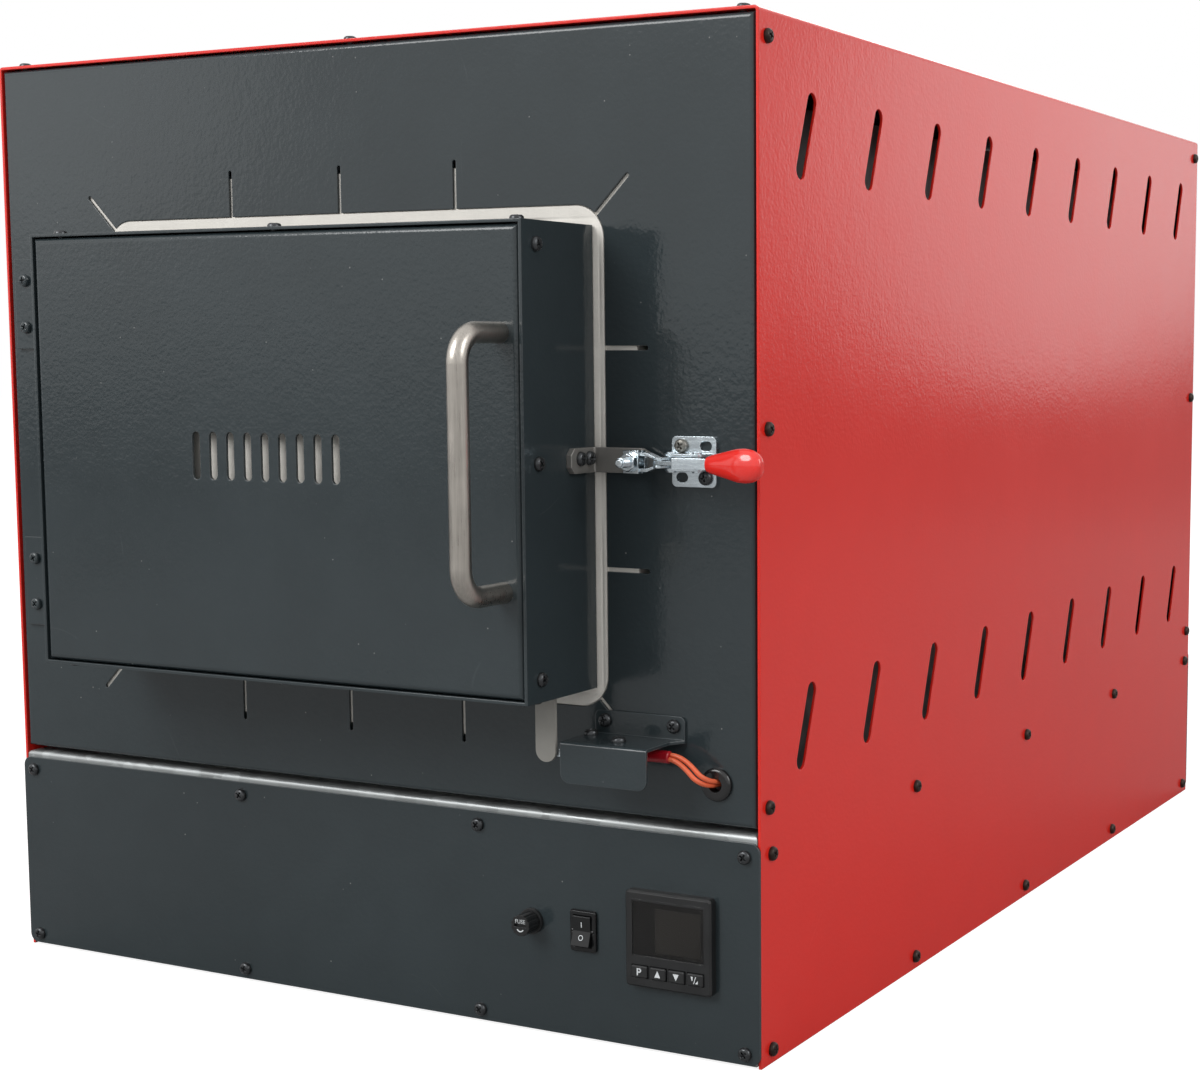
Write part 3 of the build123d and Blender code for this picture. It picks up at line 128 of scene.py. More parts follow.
class OvenSizes(bpy.types.PropertyGroup):
    """Sizes of the small pieces and of the textures"""

    peel: length_property("Orange peel", "Width of one dimple in the powder coat", 2.2 * MM)
    peel_depth: length_property("Peel depth", "Height that the coat's dimples are shaded with", 0.075 * MM)
    recess_arm: length_property("Recess arm", "Half length of a screw's cross recess", 1.95 * MM)
    recess_width: length_property("Recess width", "Width of an arm of the cross recess", 0.95 * MM)
    recess_depth: length_property("Recess depth", "Depth of the cross recess", 1.5 * MM)
    thread_pitch: length_property("Thread pitch", "Pitch of the clamp's spindle", 0.8 * MM)
    thread_depth: length_property("Thread depth", "Depth of the spindle's thread", 0.36 * MM)
    coil_wire: length_property("Coil wire", "Diameter of the resistance wire", 1.5 * MM)
    coil_pitch: length_property("Coil pitch", "Distance between turns of the heating coil", 5.5 * MM)
    wire_diameter: length_property("Wire diameter", "Outside diameter of a switch wire", 2.4 * MM)
    mark_relief: length_property("Mark relief", "Thickness of the printed marks", 0.05 * MM)


def colours():
    return bpy.context.scene.oven_colours


def sizes():
    return bpy.context.scene.oven_sizes


# Node trees


class Wiring:
    """Adds nodes to one tree; a socket given as a value is linked."""

    def __init__(self, tree):
        self.tree = tree

    def put(self, socket, value):
        if isinstance(value, bpy.types.NodeSocket):
            self.tree.links.new(value, socket)
        elif socket.type == "RGBA" and len(value) == 3:
            socket.default_value = (*value, 1.0)
        else:
            socket.default_value = value

    def add(self, kind, sockets=(), **settings):
        made = self.tree.nodes.new(kind)
        for key, value in settings.items():
            setattr(made, key, value)
        for key, value in dict(sockets).items():
            self.put(made.inputs[key], value)
        return made

    def place(self):
        return self.add("ShaderNodeTexCoord").outputs["Object"]

    def maths(self, operation, *values):
        return self.add("ShaderNodeMath", enumerate(values), operation=operation).outputs[0]

    def vector(self, operation, *values):
        made = self.add("ShaderNodeVectorMath", enumerate(values), operation=operation)
        return made.outputs["Value" if operation in ("DOT_PRODUCT", "LENGTH") else "Vector"]

    def noise(self, where, scale, detail=2.0, roughness=0.5, distortion=0.0):
        sockets = {
            "Vector": where,
            "Scale": scale,
            "Detail": detail,
            "Roughness": roughness,
            "Distortion": distortion,
        }
        return self.add("ShaderNodeTexNoise", sockets).outputs["Fac"]

    def span(self, value, low, high, to_low=0.0, to_high=1.0):
        """The value's range from low to high, stretched to another range and held at its ends."""
        return self.add("ShaderNodeMapRange", enumerate((value, low, high, to_low, to_high))).outputs[0]

    def mix(self, factor, first, second):
        """Two colours, mixed."""
        made = self.add("ShaderNodeMix", {0: factor, 6: first, 7: second}, data_type="RGBA")
        return made.outputs[2]

    def use(self, tree, **sockets):
        made = self.add("ShaderNodeGroup")
        made.node_tree = tree
        for key, value in sockets.items():
            self.put(made.inputs[key.replace("_", " ").capitalize()], value)
        return made.outputs

    def surface(self, shader, colour, roughness, normal):
        for name, value in (("Base Color", colour), ("Roughness", roughness), ("Normal", normal)):
            self.put(shader[name], value)

    def bump(self, height, distance, normal=None):
        sockets = {"Height": height, "Distance": distance, "Strength": 1.0}
        if normal is not None:
            sockets["Normal"] = normal
        return self.add("ShaderNodeBump", sockets).outputs["Normal"]


def new_group(name, inputs, outputs):
    """An empty node group, its wiring and its two end nodes."""
    tree = bpy.data.node_groups.new(name, "ShaderNodeTree")
    for title, kind, default in inputs:
        tree.interface.new_socket(title, in_out="INPUT", socket_type=kind).default_value = default
    for title, kind in outputs:
        tree.interface.new_socket(title, in_out="OUTPUT", socket_type=kind)
    wiring = Wiring(tree)
    return tree, wiring, wiring.add("NodeGroupInput").outputs, wiring.add("NodeGroupOutput").inputs


def orange_peel_group():
    """Dimples of a powder coat, its slow change of tone and its dust."""
    tree, w, given, out = new_group(
        "orange_peel",
        [("Size", "NodeSocketFloat", 0.002)],
        [("Height", "NodeSocketFloat"), ("Tone", "NodeSocketFloat"), ("Dust", "NodeSocketFloat")],
    )
    place = w.place()
    scale = w.maths("DIVIDE", 1.0, given["Size"])
    fine = w.noise(place, scale, 1.0)
    broad = w.noise(place, w.maths("MULTIPLY", scale, 0.28), 1.5, 0.5, 0.4)
    w.put(out["Height"], w.maths("ADD", fine, w.maths("MULTIPLY", broad, 0.9)))
    slow = w.noise(place, 5.0, 3.0)
    patch = w.noise(place, 38.0, 3.0)
    w.put(out["Tone"], w.maths("ADD", w.maths("MULTIPLY", slow, 0.7), w.maths("MULTIPLY", patch, 0.3)))
    cells = w.add("ShaderNodeTexVoronoi", {"Vector": place, "Scale": 210.0})
    speck = w.span(cells.outputs["Distance"], 0.10, 0.04)
    rare = w.span(w.add("ShaderNodeSeparateColor", {0: cells.outputs["Color"]}).outputs[0], 0.93, 0.95)
    w.put(out["Dust"], w.maths("MULTIPLY", speck, rare))
    return tree


def hairline_group():
    """Thin scratches that curve a little, in patches."""
    tree, w, given, out = new_group(
        "hairlines",
        [("Scale", "NodeSocketFloat", 9.0), ("Share", "NodeSocketFloat", 0.4)],
        [("Mask", "NodeSocketFloat")],
    )
    place = w.place()
    wavy = w.noise(place, given["Scale"], 1.0, 0.4, 0.2)
    line = w.span(w.maths("ABSOLUTE", w.maths("SUBTRACT", wavy, 0.5)), 0.0012, 0.0004)
    edge = w.maths("SUBTRACT", 0.8, given["Share"])
    cloud = w.noise(place, w.maths("MULTIPLY", given["Scale"], 3.1), 2.0)
    patch = w.span(cloud, edge, w.maths("ADD", edge, 0.04))
    w.put(out["Mask"], w.maths("MULTIPLY", line, patch))
    return tree


def edge_highlight_and_wear_group():
    """Sharp edges as a mask, used to lighten edges as wear and as painted highlight, and a normal that
    rounds them.
    """
    tree, w, given, out = new_group(
        "edge_highlight_and_wear",
        [("Radius", "NodeSocketFloat", 0.0004)],
        [("Mask", "NodeSocketFloat"), ("Normal", "NodeSocketVector")],
    )
    rounded = w.add("ShaderNodeBevel", {"Radius": given["Radius"]}, samples=6).outputs["Normal"]
    flat = w.add("ShaderNodeNewGeometry").outputs["Normal"]
    w.put(out["Mask"], w.span(w.vector("DOT_PRODUCT", rounded, flat), 0.992, 0.86))
    w.put(out["Normal"], rounded)
    return tree


def brushed_group():
    """Grinding marks; the stretch is small along the marks and large across them."""
    tree, w, given, out = new_group(
        "brushed_metal",
        [("Stretch", "NodeSocketVector", (20.0, 900.0, 900.0))],
        [("Height", "NodeSocketFloat"), ("Tone", "NodeSocketFloat")],
    )
    place = w.place()
    streaks = w.noise(w.vector("MULTIPLY", place, given["Stretch"]), 1.0, 4.0, 0.6)
    w.put(out["Height"], streaks)
    cloud = w.noise(place, 60.0, 2.0)
    w.put(out["Tone"], w.maths("ADD", w.maths("MULTIPLY", streaks, 0.6), w.maths("MULTIPLY", cloud, 0.4)))
    return tree


def fibre_group():
    """Matted ceramic fibre: short hairs, clumps and small pits."""
    tree, w, given, out = new_group(
        "matted_fibre",
        [("Scale", "NodeSocketFloat", 700.0)],
        [("Height", "NodeSocketFloat"), ("Tone", "NodeSocketFloat")],
    )
    place = w.place()
    hairs = []
    for stretch in ((1.0, 0.3, 0.12), (0.14, 0.4, 1.0), (0.5, 1.0, 0.4)):
        hairs.append(w.noise(w.vector("MULTIPLY", place, stretch), given["Scale"], 3.0, 0.65, 0.6))
    hair = w.maths("MAXIMUM", w.maths("MAXIMUM", hairs[0], hairs[1]), hairs[2])
    clump = w.noise(place, w.maths("MULTIPLY", given["Scale"], 0.12), 3.0)
    w.put(out["Height"], w.maths("ADD", hair, clump))
    w.put(out["Tone"], w.maths("ADD", w.maths("MULTIPLY", hair, 0.5), w.maths("MULTIPLY", clump, 0.5)))
    return tree


def grain_group():
    """Fine grain of moulded or cast surfaces."""
    tree, w, given, out = new_group(
        "fine_grain",
        [("Scale", "NodeSocketFloat", 1500.0)],
        [("Height", "NodeSocketFloat"), ("Tone", "NodeSocketFloat")],
    )
    place = w.place()
    w.put(out["Height"], w.noise(place, given["Scale"], 3.0, 0.6))
    w.put(out["Tone"], w.noise(place, w.maths("MULTIPLY", given["Scale"], 0.05), 3.0))
    return tree


def settled_dust_group():
    """Dust on what faces up."""
    tree, w, given, out = new_group(
        "settled_dust", [("Amount", "NodeSocketFloat", 0.5)], [("Mask", "NodeSocketFloat")]
    )
    normal = w.add("ShaderNodeNewGeometry").outputs["Normal"]
    up = w.span(w.vector("DOT_PRODUCT", normal, (0.0, 0.0, 1.0)), 0.6, 1.0)
    cloud = w.span(w.noise(w.place(), 90.0, 4.0, 0.65), 0.42, 0.75)
    w.put(out["Mask"], w.maths("MULTIPLY", w.maths("MULTIPLY", up, cloud), given["Amount"]))
    return tree


GROUP_MAKERS = {
    "peel": orange_peel_group,
    "hairlines": hairline_group,
    "edge": edge_highlight_and_wear_group,
    "brushed": brushed_group,
    "fibre": fibre_group,
    "grain": grain_group,
    "dust": settled_dust_group,
}
groups = {}


def shared(key):
    """A shared node group, made when it is first asked for."""
    if key not in groups:
        groups[key] = GROUP_MAKERS[key]()
    return groups[key]


def finish(name, **sockets):
    """A material with its wiring and its shader, whose sockets are given by name."""
    made = bpy.data.materials.new(name)
    made.use_nodes = True
    wiring = Wiring(made.node_tree)
    shader = made.node_tree.nodes["Principled BSDF"]
    for key, value in sockets.items():
        wiring.put(shader.inputs[key.replace("_", " ").title().replace("Ior", "IOR")], value)
    return made, wiring, shader.inputs


def powder_coat(name, colour, rough=0.13, scratches=0.2, edge=0.25, peel=1.0, spread=0.1):
    """Powder coat: orange peel, hairlines, dust, and edges lightened partly as thin paint and partly as
    painted highlight.
    """
    made, w, shader = finish(name)
    coat = w.use(shared("peel"), size=sizes().peel * peel)
    corner = w.use(shared("edge"), radius=0.7 * MM)
    light = shade(colour, 1 + spread)
    dark = shade(colour, 1 - spread)
    # Lighter colour for hairlines and edges: scratches and thin paint, and on the edges also a painted
    # highlight
    wear_and_highlight = shade(colour, 1.5, 0.05)
    base = w.mix(w.span(coat["Tone"], 0.35, 0.65), dark, light)
    base = w.mix(w.maths("MULTIPLY", corner["Mask"], edge), base, wear_and_highlight)
    lines = w.use(shared("hairlines"), scale=7.0, share=scratches)["Mask"]
    base = w.mix(w.maths("MULTIPLY", lines, 0.12), base, wear_and_highlight)
    base = w.mix(w.maths("MULTIPLY", coat["Dust"], 0.35), base, (0.5, 0.5, 0.48))
    w.surface(
        shader,
        base,
        w.span(coat["Tone"], 0.3, 0.7, rough * 0.85, rough * 1.25),
        w.bump(coat["Height"], sizes().peel_depth, corner["Normal"]),
    )
    return made


def metal(name, colour, rough, stretch, depth=0.006 * MM, spread=0.25):
    """Ground or plated metal with marks that run one way."""
    made, w, shader = finish(name, metallic=1.0)
    marks = w.use(shared("brushed"), stretch=stretch)
    corner = w.use(shared("edge"), radius=0.3 * MM)
    dark = shade(colour, 1 - spread)
    base = w.mix(w.span(marks["Tone"], 0.35, 0.65), dark, colour)
    # Edges mixed back to the full colour: a painted highlight along the edges, partly rubbed wear
    w.surface(
        shader,
        w.mix(w.maths("MULTIPLY", corner["Mask"], 0.4), base, colour),
        w.span(marks["Tone"], 0.3, 0.7, rough * 0.8, rough * 1.3),
        w.bump(marks["Height"], depth, corner["Normal"]),
    )
    return made


def moulding(name, colour, rough, depth=0.02 * MM, scale=1500.0, spread=0.2, **sockets):
    """Moulded plastic, rubber or ceramic with a fine grain."""
    made, w, shader = finish(name, **sockets)
    grain = w.use(shared("grain"), scale=scale)
    corner = w.use(shared("edge"), radius=0.3 * MM)
    dark = shade(colour, 1 - spread)
    # Lighter colour for the edges: partly rubbed wear, partly a painted highlight
    wear_and_highlight = shade(colour, 1.25, 0.01)
    base = w.mix(w.span(grain["Tone"], 0.35, 0.65), dark, colour)
    w.surface(
        shader,
        w.mix(w.maths("MULTIPLY", corner["Mask"], 0.5), base, wear_and_highlight),
        w.span(grain["Tone"], 0.3, 0.7, rough * 0.85, min(1.0, rough * 1.2)),
        w.bump(grain["Height"], depth, corner["Normal"]),
    )
    return made


def galvanised_finish():
    """Galvanised sheet with its spangle."""
    made, w, shader = finish("galvanised_sheet", metallic=0.7)
    place = w.place()
    cells = w.add("ShaderNodeTexVoronoi", {"Vector": place, "Scale": 95.0})
    tone = w.add("ShaderNodeSeparateColor", {0: cells.outputs["Color"]}).outputs[0]
    corner = w.use(shared("edge"), radius=0.4 * MM)
    colour = tuple(colours().galvanised)
    base = w.mix(w.span(tone, 0.0, 1.0), shade(colour, 0.72), colour)
    w.surface(
        shader,
        base,
        w.span(tone, 0.0, 1.0, 0.32, 0.5),
        w.bump(w.noise(place, 700.0, 2.0), 0.015 * MM, corner["Normal"]),
    )
    return made


def opening_band(w):
    """Distance in metres from the edge of the door, outwards; 0 on the door's outline."""
    low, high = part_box("door_frame")
    middle = (low + high) / 2
    half = (high - low) / 2
    offset = w.vector("ABSOLUTE", w.vector("SUBTRACT", w.place(), tuple(middle)))
    beyond = w.vector("MAXIMUM", w.vector("SUBTRACT", offset, (half.x, 10.0, half.z)), (0.0, 0.0, 0.0))
    return w.vector("LENGTH", beyond)


def fibre_finish(name, frayed=0.0, band=False):
    """Pressed ceramic fibre; the band is the rolled lip that shows round the door, with painted shade in
    its crease and on its outer edge.
    """
    made, w, shader = finish(name, specular_ior_level=0.15, sheen_weight=0.15)
    mat = w.use(shared("fibre"), scale=620.0)
    colour = tuple(colours().fibre)
    base = w.mix(w.span(mat["Tone"], 0.35, 0.7), shade(colour, 0.88 - frayed), colour)
    height = mat["Height"]
    if band:
        distance = opening_band(w)
        # Painted shade: a dark line along the crease between lip and frame, and a greyer outer zone where
        # the rounded lip turns from the light
        groove = w.maths("ABSOLUTE", w.maths("SUBTRACT", distance, 3.4 * MM))
        shaded_crease = w.span(groove, 1.0 * MM, 0.0)
        wander = w.span(w.noise(w.place(), 28.0, 2.0), 0.3, 0.62)
        shaded_crease = w.maths("MULTIPLY", shaded_crease, wander)
        base = w.mix(w.maths("MULTIPLY", shaded_crease, 0.35), base, shade(colour, 0.5))
        outer = w.span(distance, 3.0 * MM, 4.2 * MM)
        base = w.mix(w.maths("MULTIPLY", outer, 0.22), base, shade(colour, 0.6))
        height = w.maths("SUBTRACT", height, w.maths("MULTIPLY", shaded_crease, 2.0))
    w.surface(
        shader,
        base,
        w.span(mat["Tone"], 0.3, 0.7, 0.85, 1.0),
        w.bump(height, 0.16 * MM),
    )
    return made


def brick_finish():
    """Light insulating brick with its joints and pores."""
    made, w, shader = finish("insulating_brick", specular_ior_level=0.15)
    place = w.place()
    turned = w.add("ShaderNodeCombineXYZ")
    parts = w.add("ShaderNodeSeparateXYZ", {0: place})
    w.put(turned.inputs[0], parts.outputs[1])
    w.put(turned.inputs[1], w.maths("ADD", parts.outputs[2], parts.outputs[0]))
    joints = w.add(
        "ShaderNodeTexBrick",
        {
            "Vector": turned.outputs[0],
            "Scale": 1.0,
            "Mortar Size": 0.0011,
            "Mortar Smooth": 0.4,
            "Brick Width": 0.23,
            "Row Height": 0.064,
        },
    ).outputs["Fac"]
    pores = w.add("ShaderNodeTexVoronoi", {"Vector": place, "Scale": 620.0}).outputs["Distance"]
    pore = w.span(pores, 0.28, 0.1)
    colour = tuple(colours().brick)
    base = w.mix(w.span(w.noise(place, 24.0, 4.0), 0.3, 0.7), shade(colour, 0.8), colour)
    base = w.mix(w.maths("MULTIPLY", pore, 0.35), base, shade(colour, 0.5))
    base = w.mix(joints, base, shade(colour, 0.55))
    height = w.maths("ADD", w.maths("MULTIPLY", pore, -1.0), w.maths("MULTIPLY", joints, -2.0))
    w.surface(
        shader,
        base,
        w.span(pore, 0.0, 1.0, 0.88, 1.0),
        w.bump(height, 0.3 * MM),
    )
    return made


def strap_finish():
    """Flat bar as rolled: scale, and edges and bend lightened, partly as rubbed wear and partly as painted
    highlight.
    """
    made, w, shader = finish("rolled_bar", metallic=0.5)
    grain = w.use(shared("grain"), scale=700.0)
    corner = w.use(shared("edge"), radius=0.8 * MM)
    colour = tuple(colours().strap_steel)
    base = w.mix(w.span(grain["Tone"], 0.3, 0.7), shade(colour, 0.7), colour)
    # Edges and bend lightened: painted highlight, partly rubbed wear
    base = w.mix(w.maths("MULTIPLY", corner["Mask"], 0.6), base, shade(colour, 1.8))
    w.surface(
        shader,
        base,
        w.span(grain["Tone"], 0.3, 0.7, 0.3, 0.45),
        w.bump(grain["Height"], 0.02 * MM, corner["Normal"]),
    )
    return made


def finishes_by_slot():
    """One finish for each material slot of the record."""
    c = colours()
    return {
        "red_coat": powder_coat("red_powder_coat", tuple(c.red_coat), rough=0.17, edge=0.4, spread=0.03),
        "grey_coat": powder_coat("grey_powder_coat", tuple(c.grey_coat), edge=0.55),
        "galvanised": galvanised_finish(),
        "fibre": fibre_finish("ceramic_fibre"),
        "brick": brick_finish(),
        "coil": metal("oxidised_wire", paint(96, 88, 84), 0.55, (300.0, 300.0, 300.0), spread=0.5),
        "ceramic": moulding("glazed_ceramic", paint(216, 210, 196), 0.3, scale=400.0, spread=0.12),
        "black_screw": moulding(
            "black_screw", tuple(c.screw), 0.32, scale=900.0, spread=0.35, metallic=0.6
        ),
        "bare_steel": strap_finish(),
        "stainless": metal(
            "satin_stainless", tuple(c.stainless), 0.3, (1500.0, 1500.0, 40.0), depth=0.012 * MM
        ),
        "zinc": metal("zinc_plate", tuple(c.zinc), 0.24, (160.0, 900.0, 900.0), spread=0.3),
        "tab_coat": moulding(
            "grey_satin_coat", tuple(c.tab_coat), 0.5, depth=0.04 * MM, scale=900.0, spread=0.12
        ),
        "grip": moulding(
            "dipped_grip", tuple(c.grip), 0.16, depth=0.05 * MM, scale=260.0, spread=0.12, coat_weight=0.6
        ),
        "black_plastic": moulding("black_plastic", tuple(c.plastic), 0.42),
        "gloss_black": moulding("gloss_black", paint(20, 21, 22), 0.14, depth=0.006 * MM, scale=400.0),
        "rubber": moulding(
            "grommet_rubber", paint(22, 22, 23), 0.22, depth=0.03 * MM, scale=500.0, coat_weight=0.3
        ),
        "key_rubber": moulding("key_rubber", paint(24, 25, 26), 0.5),
        "orange_silicone": moulding("orange_silicone", tuple(c.wire), 0.38, depth=0.02 * MM, scale=700.0),
        "red_sleeve": moulding(
            "shrunk_sleeve", tuple(c.sleeve), 0.36, depth=0.09 * MM, scale=330.0, spread=0.3
        ),
        "aluminium": metal("extruded_aluminium", paint(206, 206, 208), 0.34, (900.0, 30.0, 900.0)),
        "white_plastic": moulding("white_plastic", paint(214, 212, 206), 0.45, spread=0.08),
        "glass": fuse_glass_finish(),
    }


def fuse_glass_finish():
    """Clear glass of the fuse."""
    made, w, shader = finish("fuse_glass", transmission_weight=1.0, roughness=0.04)
    tone = w.noise(w.place(), 300.0, 2.0)
    w.put(shader["Base Color"], w.mix(tone, (0.86, 0.92, 0.9), (0.95, 0.98, 0.97)))
    return made


# Meshes


def piece(name, mesh_data, body, materials, replaced=(), sharp=35.0):
    """Links a mesh as a named piece that rides on a body."""
    mesh = bpy.data.meshes.new(name)
    mesh_data.to_mesh(mesh)
    mesh_data.free()
    mesh.polygons.foreach_set("use_smooth", [True] * len(mesh.polygons))
    mesh.set_sharp_from_angle(angle=math.radians(sharp))
    for material in materials:
        mesh.materials.append(material)
    made = bpy.data.objects.new(name, mesh)
    bpy.context.scene.collection.objects.link(made)
    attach(made, body)
    if replaced:
        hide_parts(*replaced)
    return made


def ring(bm, place, points):
    return [bm.verts.new(place @ Vector(point)) for point in points]


def close_rings(bm, first, second, material=0):
    """Quads between two rings of as many points each."""
    for i in range(len(first)):
        j = (i + 1) % len(first)
        face = bm.faces.new((first[i], first[j], second[j], second[i]))
        face.material_index = material


def circle_points(radius, height, count, start=0.0):
    turns = [start + math.tau * i / count for i in range(count)]
    return [(radius * math.cos(turn), radius * math.sin(turn), height) for turn in turns]


def skin(bm, rings, material=0):
    """A tube through rings, closed at both ends."""
    for first, second in zip(rings, rings[1:]):
        close_rings(bm, first, second, material)
    for end in (list(reversed(rings[0])), rings[-1]):
        bm.faces.new(end).material_index = material


def cross_points(arm, half, height):
    """Outline of a cross, counted round from just below local X."""
    quarter = [(arm, -half), (arm, half)]
    points = []
    for turn in range(4):
        for x, y in quarter + [(half, half)]:
            for _ in range(turn):
                x, y = -y, x
            points.append((x, y, height))
    return points


def stitch(bm, outer, inner, outer_angles, inner_angles, material):
    """Triangles between two closed loops that are both in order round local Z."""
    i = j = 0
    while i < len(outer) or j < len(inner):
        next_outer = outer_angles[i + 1] if i < len(outer) else math.inf
        next_inner = inner_angles[j + 1] if j < len(inner) else math.inf
        here, there = outer[i % len(outer)], inner[j % len(inner)]
        if next_outer <= next_inner:
            face = bm.faces.new((here, outer[(i + 1) % len(outer)], there))
            i += 1
        else:
            face = bm.faces.new((here, inner[(j + 1) % len(inner)], there))
            j += 1
        face.material_index = material


def cross_head(bm, place, radius, height, reach, material):
    """Pan head with a cross recess; its seat is at local Z 0 and its shank below."""
    arm = min(sizes().recess_arm, radius * 0.56)
    half = sizes().recess_width / 2
    count = 24
    start = -math.atan2(half, arm)
    dome = ((1.0, 0.0), (1.0, 0.34), (0.95, 0.62), (0.84, 0.86), (0.66, 1.0))
    rings = [ring(bm, place, circle_points(radius * r, height * h, count, start)) for r, h in dome]
    for first, second in zip(rings, rings[1:]):
        close_rings(bm, first, second, material)
    shank = [ring(bm, place, circle_points(radius * 0.56, -depth, count, start)) for depth in (0.0, reach)]
    close_rings(bm, shank[0], rings[0], material)
    close_rings(bm, shank[1], shank[0], material)
    bm.faces.new(list(reversed(shank[1]))).material_index = material
    lip = ring(bm, place, cross_points(arm, half, height))
    floor = ring(bm, place, cross_points(arm * 0.6, half * 0.8, height - sizes().recess_depth))
    outer_angles = [math.tau * i / count for i in range(count + 1)]
    inner_angles = []
    for x, y, _ in cross_points(arm, half, 0.0):
        inner_angles.append((math.atan2(y, x) - start + 1e-9) % math.tau)
    inner_angles.append(math.tau)
    stitch(bm, rings[-1], lip, outer_angles, inner_angles, material)
    close_rings(bm, lip, floor, material)
    bm.faces.new(floor).material_index = material


def solids_of(node):
    """The corners of every separate solid in a CAD node."""
    bm = bmesh.new()
    bm.from_mesh(nodes[node].data)
    bmesh.ops.remove_doubles(bm, verts=bm.verts, dist=1e-6)
    seen = set()
    solids = []
    for seed in bm.verts:
        if seed in seen:
            continue
        seen.add(seed)
        found, queue = [], [seed]
        while queue:
            vert = queue.pop()
            found.append(vert.co.copy())
            for edge in vert.link_edges:
                other = edge.other_vert(vert)
                if other not in seen:
                    seen.add(other)
                    queue.append(other)
        solids.append(found)
    bm.free()
    return solids


def screw_places(node):
    """(place, head radius, head height, shank length) of every screw in a CAD node."""
    places = []
    for corners in solids_of(node):
        low = Vector([min(c[i] for c in corners) for i in range(3)])
        high = Vector([max(c[i] for c in corners) for i in range(3)])
        size = high - low
        axis = max(range(3), key=lambda i: size[i])
        across = (axis + 1) % 3
        middle = (low + high) / 2
        radius = size[across] / 2
        wide = [c[axis] for c in corners if abs(c[across] - middle[across]) > radius * 0.8]
        sign = 1 if sum(wide) / len(wide) > middle[axis] else -1
        seat = min(wide) if sign > 0 else max(wide)
        tip, top = (low[axis], high[axis]) if sign > 0 else (high[axis], low[axis])
        out = Vector((0, 0, 0))
        out[axis] = sign
        middle[axis] = seat
        places.append((middle, out, radius, abs(top - seat), abs(seat - tip)))
    return places


def screw_set(name, node, body, materials, choose):
    """All the screws of a node with their cross recesses, each turned its own way."""
    turns = random.Random(node)
    bm = bmesh.new()
    for seat, out, radius, height, reach in screw_places(node):
        spin = Matrix.Rotation(turns.uniform(0, math.tau), 4, "Z")
        place = Matrix.Translation(seat) @ out.to_track_quat("Z", "Y").to_matrix().to_4x4() @ spin
        cross_head(bm, place, radius, height, reach, choose(seat, out))
    return piece(name, bm, body, materials, [node])


def hexagon(bm, place, flats, start, end, chamfer, material=0):
    """Hexagon nut or head with its corners turned off at both ends."""
    corner = flats / math.sqrt(3)
    flat = flats / 2
    count = 36

    def radius_at(turn, limit):
        nearest = (turn + math.pi / 6) % (math.pi / 3) - math.pi / 6
        return min(flat / math.cos(nearest), limit)

    rings = []
    face = flat * 0.97
    for height, limit in ((start, face), (start + chamfer, corner), (end - chamfer, corner), (end, face)):
        points = []
        for i in range(count):
            turn = math.tau * i / count
            radius = radius_at(turn, limit)
            points.append((radius * math.cos(turn), radius * math.sin(turn), height))
        rings.append(ring(bm, place, points))
    skin(bm, rings, material)


def thread(bm, place, radius, start, end, tip):
    """Threaded rod along local Z with a plain tip."""
    pitch, depth = sizes().thread_pitch, sizes().thread_depth
    count, steps = 24, 5
    rings = []
    for k in range(int((end - start) / pitch * steps) + 1):
        height = start + k * pitch / steps
        fade = min(1.0, (end - height) / pitch)
        points = []
        for i in range(count):
            phase = (height / pitch - i / count) % 1.0
            turn = math.tau * i / count
            reach = radius - depth * fade * abs(2 * phase - 1)
            points.append((reach * math.cos(turn), reach * math.sin(turn), height))
        rings.append(ring(bm, place, points))
    for scale, height in ((0.82, end), (0.78, tip - 0.4 * MM), (0.6, tip)):
        rings.append(ring(bm, place, circle_points(radius * scale, height, count)))
    skin(bm, rings)


def bent_strip(bm, place, outline, low, high):
    """A closed outline in local Y and Z, pushed along local X from low to high."""
    ends = [ring(bm, place, [(x, y, z) for y, z in outline]) for x in (low, high)]
    skin(bm, ends)


def round_edges(made, width, segments=2):
    """Rounds the sharp edges of a piece."""
    bevel = made.modifiers.new("rounded_edges", "BEVEL")
    bevel.width = width
    bevel.segments = segments
    bevel.limit_method = "ANGLE"
    bevel.angle_limit = math.radians(40)
    return made


def plate_mesh(bm, place, outline, thickness, material=0):
    """A closed outline in local X and Y, raised by a thickness along local Z."""
    rings = [ring(bm, place, [(x, y, level) for x, y in outline]) for level in (0.0, thickness)]
    skin(bm, rings, material)


def rounded_route(points, radius, steps=5):
    """A line through points whose corners are arcs."""
    route = [Vector(points[0])]
    for before, corner, after in zip(points, points[1:], points[2:]):
        corner = Vector(corner)
        into = (corner - Vector(before)).normalized()
        away = (Vector(after) - corner).normalized()
        start, end = corner - into * radius, corner + away * radius
        for k in range(steps + 1):
            t = k / steps
            route.append(start * (1 - t) ** 2 + corner * 2 * t * (1 - t) + end * t**2)
    route.append(Vector(points[-1]))
    return route


def walk(route, step):
    """(distance, point, direction) at even steps along a route."""
    travelled = 0.0
    ahead = 0.0
    for start, end in zip(route, route[1:]):
        run = (end - start).length
        if run == 0:
            continue
        along = (end - start) / run
        while ahead <= travelled + run:
            yield ahead, start + along * (ahead - travelled), along
            ahead += step
        travelled += run


# Operators


